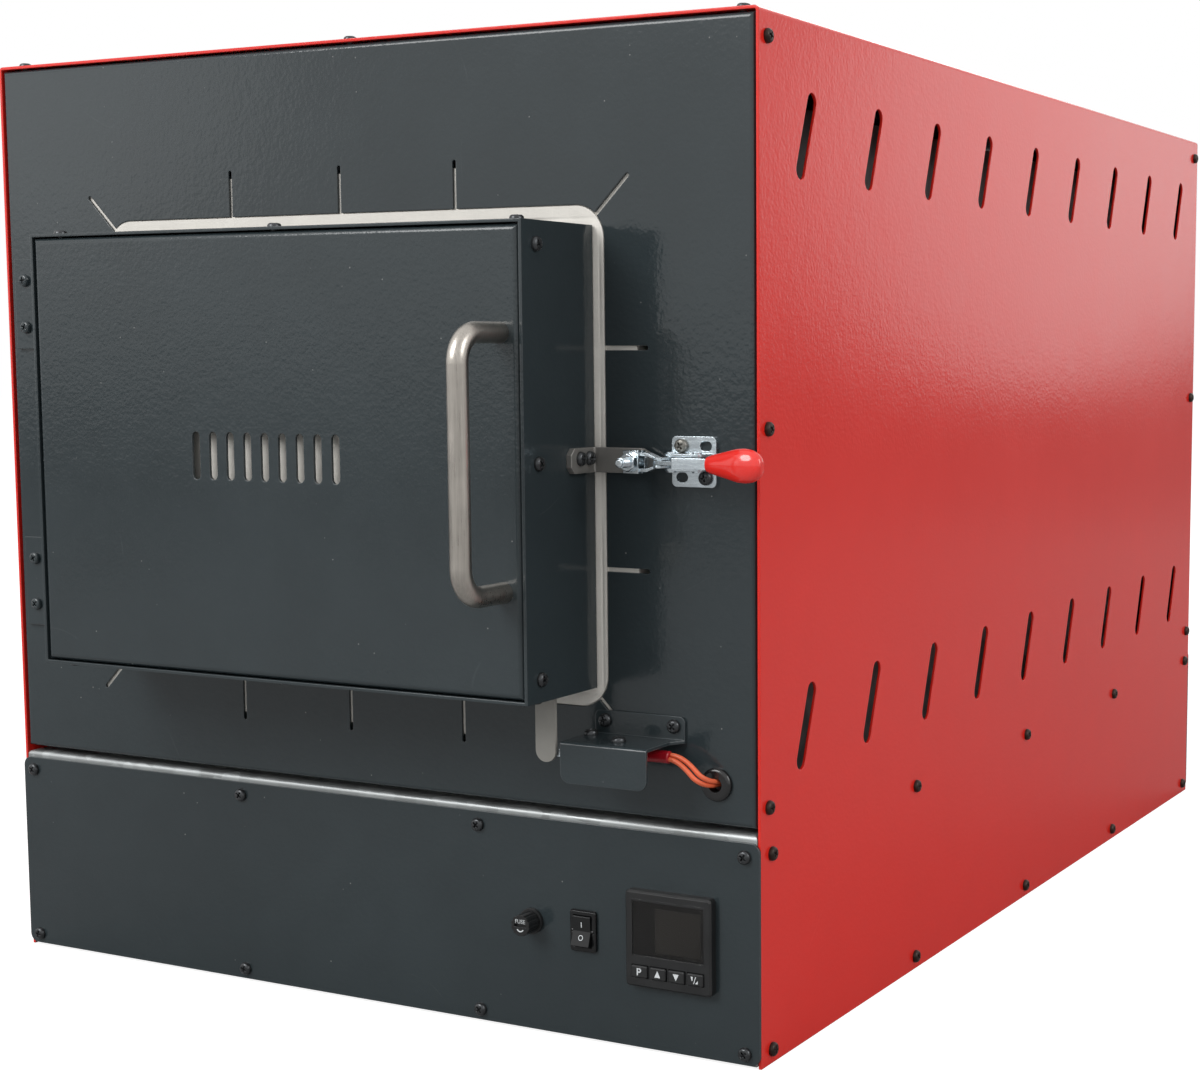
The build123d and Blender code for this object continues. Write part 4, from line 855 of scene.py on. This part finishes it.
class OVEN_OT_stage(bpy.types.Operator):
    """Camera at the photograph's view, white floor and surround, soft studio light"""

    bl_idname = "oven.stage"
    bl_label = "Camera and studio"

    def execute(self, context):
        self.camera(context)
        self.floor(context)
        self.surround(context)
        self.lamp(context, "key_light", (-1.1, -2.5, 2.0), (0.0, -0.2, 0.25), 1.8, 58.0)
        self.lamp(context, "side_light", (2.6, -0.6, 1.7), (0.1, 0.0, 0.25), 1.4, 20.0)
        self.lamp(context, "rear_light", (-0.6, 2.6, 2.2), (0.0, 0.0, 0.3), 1.8, 24.0)
        self.lamp(context, "front_window", (-2.1, -2.2, 0.85), (0.0, -0.3, 0.4), 0.7, 0.6)
        self.lamp(context, "side_window", (1.2, 2.6, 0.7), (0.2, 0.2, 0.4), 0.9, 2.0)
        context.scene.view_settings.view_transform = "Standard"
        return {"FINISHED"}

    def camera(self, context):
        data = bpy.data.cameras.new("photograph_view")
        data.sensor_width = SENSOR_MM
        data.lens = SENSOR_MM * FOCAL_PIXELS / PHOTO_WIDTH
        data.shift_x = (PHOTO_WIDTH / 2 - OPTICAL_CENTRE[0]) / PHOTO_WIDTH
        data.shift_y = (OPTICAL_CENTRE[1] - PHOTO_HEIGHT / 2) / PHOTO_WIDTH
        data.clip_start = 0.05
        made = bpy.data.objects.new("photograph_view", data)
        made.location = CAMERA_AT
        made.rotation_euler = [math.radians(turn) for turn in CAMERA_TURN]
        context.scene.collection.objects.link(made)
        context.scene.camera = made

    def floor(self, context):
        bm = bmesh.new()
        bmesh.ops.create_circle(bm, cap_ends=True, segments=96, radius=14.0)
        mesh = bpy.data.meshes.new("studio_floor")
        bm.to_mesh(mesh)
        bm.free()
        made = bpy.data.objects.new("studio_floor", mesh)
        made.location.z = -0.2 * MM
        context.scene.collection.objects.link(made)
        material = bpy.data.materials.new("studio_white")
        material.use_nodes = True
        w = Wiring(material.node_tree)
        material.node_tree.nodes.remove(material.node_tree.nodes["Principled BSDF"])
        path = w.add("ShaderNodeLightPath")
        strength = w.maths("MULTIPLY", path.outputs["Is Camera Ray"], 0.85)
        glow = w.add("ShaderNodeEmission", {"Color": (1, 1, 1), "Strength": strength})
        matt = w.add("ShaderNodeBsdfDiffuse", {"Color": (0.36, 0.36, 0.36)})
        shade = w.add("ShaderNodeAddShader", {0: matt.outputs[0], 1: glow.outputs[0]})
        w.put(material.node_tree.nodes["Material Output"].inputs["Surface"], shade.outputs[0])
        mesh.materials.append(material)

    def surround(self, context):
        world = bpy.data.worlds.new("studio_surround")
        world.use_nodes = True
        context.scene.world = world
        w = Wiring(world.node_tree)
        path = w.add("ShaderNodeLightPath").outputs
        seen = w.maths("MAXIMUM", path["Is Camera Ray"], path["Is Transmission Ray"])
        direction = w.add("ShaderNodeTexCoord").outputs["Generated"]
        rearwards = w.span(w.vector("DOT_PRODUCT", direction, (0.2, 1.0, -1.4)), 0.55, 1.1, 1.0, 0.2)
        mirrored = w.maths("MULTIPLY", path["Is Glossy Ray"], rearwards)
        ambient = w.maths("MULTIPLY", w.maths("SUBTRACT", 1.0, path["Is Glossy Ray"]), 0.68)
        background = world.node_tree.nodes["Background"]
        w.put(background.inputs["Color"], (1, 1, 1))
        w.put(background.inputs["Strength"], w.maths("MAXIMUM", seen, w.maths("ADD", mirrored, ambient)))

    def lamp(self, context, name, at, towards, size, power):
        data = bpy.data.lights.new(name, "AREA")
        data.shape = "DISK"
        data.size = size
        data.energy = power
        made = bpy.data.objects.new(name, data)
        made.location = at
        made.rotation_euler = (Vector(towards) - Vector(at)).to_track_quat("-Z", "Y").to_euler()
        context.scene.collection.objects.link(made)


class OVEN_OT_switch_wires(bpy.types.Operator):
    """Two silicone wires from the door switch's sleeve to the grommet"""

    bl_idname = "oven.switch_wires"
    bl_label = "Switch wires"

    # The route of part.py: sleeve's end, first bend, second bend, inside the panel
    sleeve_end = (197.0, -366.0, 150.35)
    first_bend = (203.0, -366.0, 150.35)
    second_bend = (216.5, -366.0, 137.0)
    inside = (216.5, -345.0, 137.0)
    spacing = 0.9
    wire_length = 42.0

    def execute(self, context):
        for name, side in (("switch_wire_a", -1), ("switch_wire_b", 1)):
            shift = side * self.spacing
            points = [
                (self.sleeve_end[0], self.sleeve_end[1] + shift, self.sleeve_end[2] + shift),
                (self.first_bend[0] + shift, self.first_bend[1] + shift, self.first_bend[2] + shift),
                (self.second_bend[0] + shift, self.second_bend[1] + shift, self.second_bend[2] + shift),
                (self.inside[0] + shift, self.inside[1], self.inside[2] + shift),
            ]
            self.wire(context, name, points)
        return {"FINISHED"}

    def wire(self, context, node, points):
        data = bpy.data.curves.new(node + "_run", "CURVE")
        data.dimensions = "3D"
        spline = data.splines.new("NURBS")
        spline.points.add(len(points) - 1)
        for point, place in zip(spline.points, points):
            point.co = (*[value * MM for value in place], 1.0)
        spline.order_u = 3
        spline.use_endpoint_u = True
        spline.resolution_u = 12
        data.bevel_depth = sizes().wire_diameter / 2
        data.bevel_resolution = 4
        data.use_fill_caps = True
        data.materials.append(moulding("wire_" + node[-1], tuple(colours().wire), 0.38, 0.02 * MM, 700.0))
        made = bpy.data.objects.new(node + "_run", data)
        context.scene.collection.objects.link(made)
        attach(made, "cabinet")
        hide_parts(node)


class OVEN_OT_finishes(bpy.types.Operator):
    """Finish of every solid of the frame, by its slot, with the exceptions by name"""

    bl_idname = "oven.finishes"
    bl_label = "Finishes"

    def execute(self, context):
        self.by_slot = finishes_by_slot()
        for part in frame["record"]["subparts"]:
            self.dress(part["node"], self.by_slot[part["material_slot"]])
        grey = tuple(colours().grey_coat)
        # Strong edge lightening on door cover and bracket: painted highlight along their edges, partly thin
        # coat
        self.dress("door_cover", powder_coat("door_powder_coat", grey, rough=0.16, edge=0.8, peel=0.8))
        bracket = powder_coat("bracket_powder_coat", grey, scratches=0.42, edge=1.0, peel=0.7)
        self.dress("switch_bracket", bracket)
        self.dress("fibre_frame", fibre_finish("frame_fibre", band=True))
        self.dress("door_insulation", fibre_finish("loose_fibre", frayed=0.12))
        self.dress("insulation", self.by_slot["fibre"])
        smoked = paint(26, 25, 24)
        window = moulding("smoked_window", smoked, 0.1, 0.002 * MM, 300.0, specular_ior_level=0.2)
        self.dress("controller_window", window)
        return {"FINISHED"}

    def dress(self, node, material):
        for slot in nodes[node].material_slots:
            slot.material = material


class OVEN_OT_screws(bpy.types.Operator):
    """Screws of cabinet, door and handle with their cross recesses"""

    bl_idname = "oven.screws"
    bl_label = "Screws"

    def execute(self, context):
        c = colours()
        black = moulding("blackened_head", tuple(c.screw), 0.26, scale=800.0, spread=0.3, metallic=0.7)
        brown = moulding("browned_head", tuple(c.brown_screw), 0.36, scale=800.0, spread=0.4, metallic=0.6)
        grey = moulding("grey_head", paint(128, 126, 120), 0.34, scale=800.0, spread=0.3, metallic=0.8)
        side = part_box("wrapper")[1].x - 1 * MM
        base_low, base_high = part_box("clamp_base")
        clamp_middle = (base_low + base_high) / 2

        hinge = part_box("hinge_cabinet_leaves")

        def choose(seat, out):
            if abs(seat.x) > side:
                return 1
            if out.y < 0 and seat.x < hinge[1].x and hinge[0].z < seat.z < hinge[1].z:
                return 3
            near = (seat - clamp_middle).length < 12 * MM
            return 2 if near and seat.z > clamp_middle.z else 0

        coated = powder_coat("coated_head", tuple(c.grey_coat))
        screw_set("case_screw_heads", "case_screws", "cabinet", [black, brown, grey, coated], choose)
        screw_set("door_screw_heads", "door_screws", "door", [black], lambda seat, out: 0)
        screw_set("handle_screw_heads", "handle_screws", "door", [black], lambda seat, out: 0)
        return {"FINISHED"}


class OVEN_OT_clamp(bpy.types.Operator):
    """Threaded spindle of the toggle clamp with its nuts and flanged washers"""

    bl_idname = "oven.clamp"
    bl_label = "Toggle clamp"

    nut_flats = 8.0
    bar_out = 11.0
    bar_height = 5.0
    bar_half = 4.5

    def execute(self, context):
        zinc = metal("zinc_spindle", tuple(colours().zinc), 0.2, (300.0, 300.0, 300.0), spread=0.2)
        low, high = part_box("clamp_spindle")
        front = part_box("front_panel")[0].y
        middle = (low + high) / 2
        place = Matrix.Translation((middle.x, front, middle.z)) @ FRONT_FACING
        head_start, tip = front - high.y, front - low.y
        bm = bmesh.new()
        hexagon(bm, place, self.nut_flats * MM, head_start, (self.bar_out - 1) * MM, 0.5 * MM)
        thread(bm, place, 2.5 * MM, (self.bar_out - 1) * MM, tip - 1.6 * MM, tip)
        piece("threaded_spindle", bm, "clamp_arm", [zinc], ["clamp_spindle"])
        bm = bmesh.new()
        top = self.bar_out + self.bar_height
        hexagon(bm, place, self.nut_flats * MM, (top + 1) * MM, (top + 5) * MM, 0.6 * MM)
        self.flanged_washer(bm, place, top + 1, -1)
        self.flanged_washer(bm, place, self.bar_out - 1, 1)
        made = piece("nuts_and_washers", bm, "clamp_arm", [zinc], ["spindle_nuts"])
        round_edges(made, 0.12 * MM)
        return {"FINISHED"}

    def flanged_washer(self, bm, place, outer, towards):
        """Washer whose two wings reach over the sides of the U-bar, from its outer face inwards."""
        inner_half = self.bar_half + 0.1
        outer_half = inner_half + 0.8
        inner = outer + towards * 0.98
        wing = outer + towards * 3.2
        outline = [
            (-outer_half, wing),
            (-inner_half, wing),
            (-inner_half, inner),
            (inner_half, inner),
            (inner_half, wing),
            (outer_half, wing),
            (outer_half, outer),
            (-outer_half, outer),
        ]
        outline = [(y * MM, z * MM) for y, z in outline]
        if towards > 0:
            outline.reverse()
        bent_strip(bm, place, outline, -4.2 * MM, 4.2 * MM)


class OVEN_OT_controls(bpy.types.Operator):
    """Marks of fuse cap, rocker and keys, and the protective film of the controller"""

    bl_idname = "oven.controls"
    bl_label = "Controls"

    def execute(self, context):
        self.white = moulding("white_mark", tuple(colours().mark), 0.5, 0.002 * MM, 900.0, spread=0.08)
        self.relief = sizes().mark_relief
        self.key_marks()
        self.rocker_marks()
        self.cap_marks()
        self.display()
        self.film()
        return {"FINISHED"}

    # The rocker's section: axis in metres, tilt in degrees, radius and heights in millimetres
    rocker_axis = (0.1413, -0.3575, 0.0563)
    rocker_tilt = 7.0
    rocker_radius = 7.9
    rocker_end = 3.0
    rocker_middle = 1.6

    def front_of(self, node, dz=0.0):
        """Place on the front face of a node, raised by millimetres."""
        low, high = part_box(node)
        at = Vector(((low.x + high.x) / 2, low.y, (low.z + high.z) / 2 + dz * MM))
        return Matrix.Translation(at) @ FRONT_FACING

    def key_marks(self):
        marks = {
            "key_up": [[(-1.7, -1.6), (1.7, -1.6), (0, 1.8)]],
            "key_down": [[(-1.7, 1.6), (0, -1.8), (1.7, 1.6)]],
            "key_run": [
                [(-2.1, 1.7), (-1.5, -0.5), (-1.0, -0.1), (-0.9, 1.7)],
                [(-0.7, -1.8), (0.5, 1.8), (0.9, 1.8), (-0.3, -1.8)],
                [(0.3, -1.7), (1.9, -1.7), (1.9, 0.1)],
            ],
            "key_program": [
                [(-1.2, -1.8), (-0.5, -1.8), (-0.5, 1.8), (-1.2, 1.8)],
                [(-0.5, 1.2), (0.3, 1.2), (0.6, 0.8), (0.6, 0.5), (1.3, 0.3), (1.3, 1.1), (0.7, 1.8)]
                + [(-0.5, 1.8)],
                [(-0.5, -0.4), (0.6, -0.4), (1.3, 0.3), (0.6, 0.5), (0.3, 0.2), (-0.5, 0.2)],
            ],
        }
        for key, outlines in marks.items():
            bm = bmesh.new()
            for outline in outlines:
                turning = sum(a[0] * b[1] - b[0] * a[1] for a, b in zip(outline, outline[1:] + outline[:1]))
                ordered = outline if turning > 0 else list(reversed(outline))
                plate_mesh(bm, self.front_of(key), [(x * MM, y * MM) for x, y in ordered], self.relief)
            piece(key + "_mark", bm, key, [self.white])

    def rocker_marks(self):
        """The line on the pressed half and the ring on the raised half."""
        axis = Vector(self.rocker_axis)
        tilt = math.radians(self.rocker_tilt)
        rise = self.rocker_end - self.rocker_middle
        slope = math.atan2(rise, math.sqrt(self.rocker_radius**2 - self.rocker_end**2))
        bm = bmesh.new()
        for up, turn in ((1, tilt - slope), (-1, tilt + slope)):
            face = Matrix.Translation(axis) @ Matrix.Rotation(-turn, 4, "X") @ FRONT_FACING
            middle = 3.6 * MM * up
            lift = (self.rocker_middle * math.cos(slope) + 0.02) * MM
            if up > 0:
                outline = [(-0.25, -1.4), (0.25, -1.4), (0.25, 1.4), (-0.25, 1.4)]
                stand = face @ Matrix.Translation((0, middle, lift))
                plate_mesh(bm, stand, [(x * MM, y * MM) for x, y in outline], self.relief)
            else:
                stand = face @ Matrix.Translation((0, middle, lift))
                self.flat_ring(bm, stand, 1.0 * MM, 1.4 * MM)
        piece("rocker_marks", bm, "rocker", [self.white])

    def flat_ring(self, bm, place, inner, outer, count=32, share=1.0):
        """A printed ring, or part of one."""
        closed = share >= 1.0
        steps = count if closed else int(count * share) + 1
        levels = []
        for radius, height in ((inner, 0.0), (outer, 0.0), (outer, self.relief), (inner, self.relief)):
            points = []
            for i in range(steps):
                turn = -math.pi * 0.5 + math.tau * (i / count - (0 if closed else share / 2))
                points.append((radius * math.cos(turn), radius * math.sin(turn), height))
            levels.append(ring(bm, place, points))
        for first, second in zip(levels, levels[1:] + levels[:1]):
            for i in range(steps if closed else steps - 1):
                j = (i + 1) % steps
                bm.faces.new((first[i], first[j], second[j], second[i]))
        if not closed:
            bm.faces.new([level[0] for level in levels])
            bm.faces.new([level[-1] for level in reversed(levels)])

    def cap_marks(self):
        data = bpy.data.curves.new("fuse_lettering", "FONT")
        data.body = "FUSE"
        data.size = 2.9 * MM
        data.align_x = "CENTER"
        data.extrude = self.relief / 2
        data.materials.append(self.white)
        made = bpy.data.objects.new("fuse_lettering", data)
        made.matrix_world = self.front_of("fuse_cap", dz=1.15) @ Matrix.Translation((0, 0, self.relief / 2))
        bpy.context.scene.collection.objects.link(made)
        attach(made, "fuse_cap")
        bm = bmesh.new()
        self.flat_ring(bm, self.front_of("fuse_cap", dz=-1.0), 1.7 * MM, 2.3 * MM, share=0.36)
        piece("fuse_arrow", bm, "fuse_cap", [self.white])

    def display(self):
        """Grey filter over the digits, at the right of the window."""
        low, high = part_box("controller_window")
        width, height = (high.x - low.x) / MM, (high.z - low.z) / MM
        left, right, base, top = -0.18 * width, 0.46 * width, -0.42 * height, 0.4 * height
        outline = [(left, base), (right, base), (right, top), (left, top)]
        bm = bmesh.new()
        outline = [(x * MM, y * MM) for x, y in outline]
        plate_mesh(bm, self.front_of("controller_window"), outline, 0.06 * MM)
        tint = paint(42, 40, 37)
        smoked = moulding("display_filter", tint, 0.2, 0.002 * MM, 500.0, specular_ior_level=0.2)
        piece("display_filter", bm, "cabinet", [smoked])

    def film(self):
        """Thin film over the controller's window, lifted and crinkled."""
        low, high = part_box("controller_window")
        case_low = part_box("controller_case")[0]
        columns, rows = 40, 28
        inset = 0.8 * MM
        bm = bmesh.new()
        grid = []
        for r in range(rows + 1):
            line = []
            for c in range(columns + 1):
                x = low.x - inset + (high.x - low.x + 2 * inset) * c / columns
                z = low.z - inset + (high.z - low.z + 3 * inset) * r / rows
                broad = noise.noise(Vector((x * 130, z * 190, 3.0)))
                wave = broad + 0.5 * noise.noise(Vector((x * 420, z * 360, 9.0)))
                line.append(bm.verts.new((x, case_low.y - (0.16 + 0.13 * wave) * MM, z)))
            grid.append(line)
        for below, above in zip(grid, grid[1:]):
            for c in range(columns):
                bm.faces.new((below[c], below[c + 1], above[c + 1], above[c]))
        made, w, shader = finish("clear_film", roughness=0.12, alpha=0.06)
        haze = w.noise(w.place(), 260.0, 3.0)
        w.put(shader["Base Color"], w.mix(haze, (0.02, 0.02, 0.02), (0.1, 0.1, 0.1)))
        sheet = piece("protective_film", bm, "cabinet", [made], sharp=60.0)
        thickness = sheet.modifiers.new("film_thickness", "SOLIDIFY")
        thickness.thickness = 0.03 * MM


class OVEN_OT_heating_coils(bpy.types.Operator):
    """Resistance wire wound into the coils that lie in the chamber's grooves"""

    bl_idname = "oven.heating_coils"
    bl_label = "Heating coils"

    coil_radius = 5.7
    bend = 11.0
    coil_rear = 206.0
    lead_start = 216.0
    groove_count = 4

    def execute(self, context):
        low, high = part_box("heating_coils")
        radius = self.coil_radius * MM
        front, rear, tail = low.y + radius, self.coil_rear * MM, high.y
        step = (high.z - low.z - 2 * radius) / (self.groove_count - 1)
        levels = [low.z + radius + step * i for i in range(self.groove_count)]
        material = metal("wound_wire", paint(104, 92, 84), 0.5, (400.0, 400.0, 400.0), spread=0.5)
        bm = bmesh.new()
        for x in (low.x + radius, high.x - radius):
            points = [(x, tail, levels[0])]
            for index, level in enumerate(levels):
                start, end = (rear, front) if index % 2 == 0 else (front, rear)
                if index > 0:
                    points.append((x, start, level))
                if index < self.groove_count - 1:
                    points.append((x, end, level))
            points.append((x, tail, levels[-1]))
            self.winding(bm, rounded_route(points, self.bend * MM))
        piece("wound_heating_coils", bm, "cabinet", [material], ["heating_coils"], sharp=80.0)
        return {"FINISHED"}

    def winding(self, bm, route):
        wire = sizes().coil_wire / 2
        reach = self.coil_radius * MM - wire
        pitch = sizes().coil_pitch
        per_turn, sides = 9, 5
        across = Vector((1, 0, 0))
        line = []
        for travelled, point, along in walk(route, pitch / per_turn):
            up = along.cross(across)
            turn = math.tau * travelled / pitch
            slack = min(1.0, max(0.12, (self.lead_start * MM - point.y) / (8 * MM)))
            line.append(point + (across * math.cos(turn) + up * math.sin(turn)) * reach * slack)
        rings = []
        for before, here, after in zip([line[0]] + line, line, line[1:] + [line[-1]]):
            along = (after - before).normalized()
            side = along.orthogonal() if abs(along.x) > 0.9 else along.cross(across)
            side.normalize()
            other = along.cross(side)
            corners = []
            for i in range(sides):
                turn = math.tau * i / sides
                corners.append(bm.verts.new(here + (side * math.cos(turn) + other * math.sin(turn)) * wire))
            rings.append(corners)
        skin(bm, rings)


class OVEN_OT_rear_fittings(bpy.types.Operator):
    """Contact blades of the mains inlet"""

    bl_idname = "oven.rear_fittings"
    bl_label = "Rear fittings"

    blade_places = ((-7.0, -1.0), (7.0, -1.0), (0.0, 3.0))
    blade_half = (1.1 * MM, 2.35 * MM)
    blade_foot = 15 * MM
    blade_length = 9.4 * MM

    def execute(self, context):
        low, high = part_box("mains_inlet")
        middle = (low + high) / 2
        rear_facing = Matrix(((-1, 0, 0, 0), (0, 0, 1, 0), (0, 1, 0, 0), (0, 0, 0, 1)))
        zinc = metal("inlet_blade", paint(196, 190, 176), 0.25, (300.0, 300.0, 300.0), spread=0.2)
        bm = bmesh.new()
        for x, z in self.blade_places:
            foot = (middle.x - x * MM, high.y - self.blade_foot, middle.z + z * MM)
            place = Matrix.Translation(foot) @ rear_facing
            a, b = self.blade_half
            plate_mesh(bm, place, [(-a, -b), (a, -b), (a, b), (-a, b)], self.blade_length)
        made = piece("inlet_blades", bm, "cabinet", [zinc])
        round_edges(made, 0.4 * MM)
        return {"FINISHED"}


class OVEN_PT_panel(bpy.types.Panel):
    """Lists the oven's operators, colours and sizes"""

    bl_idname = "OVEN_PT_panel"
    bl_label = "Hardening oven"
    bl_space_type = "VIEW_3D"
    bl_region_type = "UI"
    bl_category = "Oven"

    def draw(self, context):
        column = self.layout.column(align=True)
        for operator in OPERATORS:
            column.operator(operator.bl_idname)
        for group in (context.scene.oven_colours, context.scene.oven_sizes):
            box = self.layout.box()
            for key in group.bl_rna.properties.keys():
                if key not in ("rna_type", "name"):
                    box.prop(group, key)


OPERATORS = (
    OVEN_OT_stage,
    OVEN_OT_switch_wires,
    OVEN_OT_finishes,
    OVEN_OT_screws,
    OVEN_OT_clamp,
    OVEN_OT_controls,
    OVEN_OT_heating_coils,
    OVEN_OT_rear_fittings,
)
CLASSES = (OvenColours, OvenSizes, *OPERATORS, OVEN_PT_panel)


def register():
    for cls in CLASSES:
        bpy.utils.register_class(cls)
    bpy.types.Scene.oven_colours = bpy.props.PointerProperty(type=OvenColours)
    bpy.types.Scene.oven_sizes = bpy.props.PointerProperty(type=OvenSizes)


def unregister():
    del bpy.types.Scene.oven_sizes
    del bpy.types.Scene.oven_colours
    for cls in reversed(CLASSES):
        bpy.utils.unregister_class(cls)


def main():
    """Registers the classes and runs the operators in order."""
    register()
    for operator in OPERATORS:
        space, name = operator.bl_idname.split(".")
        if getattr(getattr(bpy.ops, space), name)() != {"FINISHED"}:
            raise RuntimeError(operator.bl_label + " did not finish")


if __name__ == "__main__":
    main()
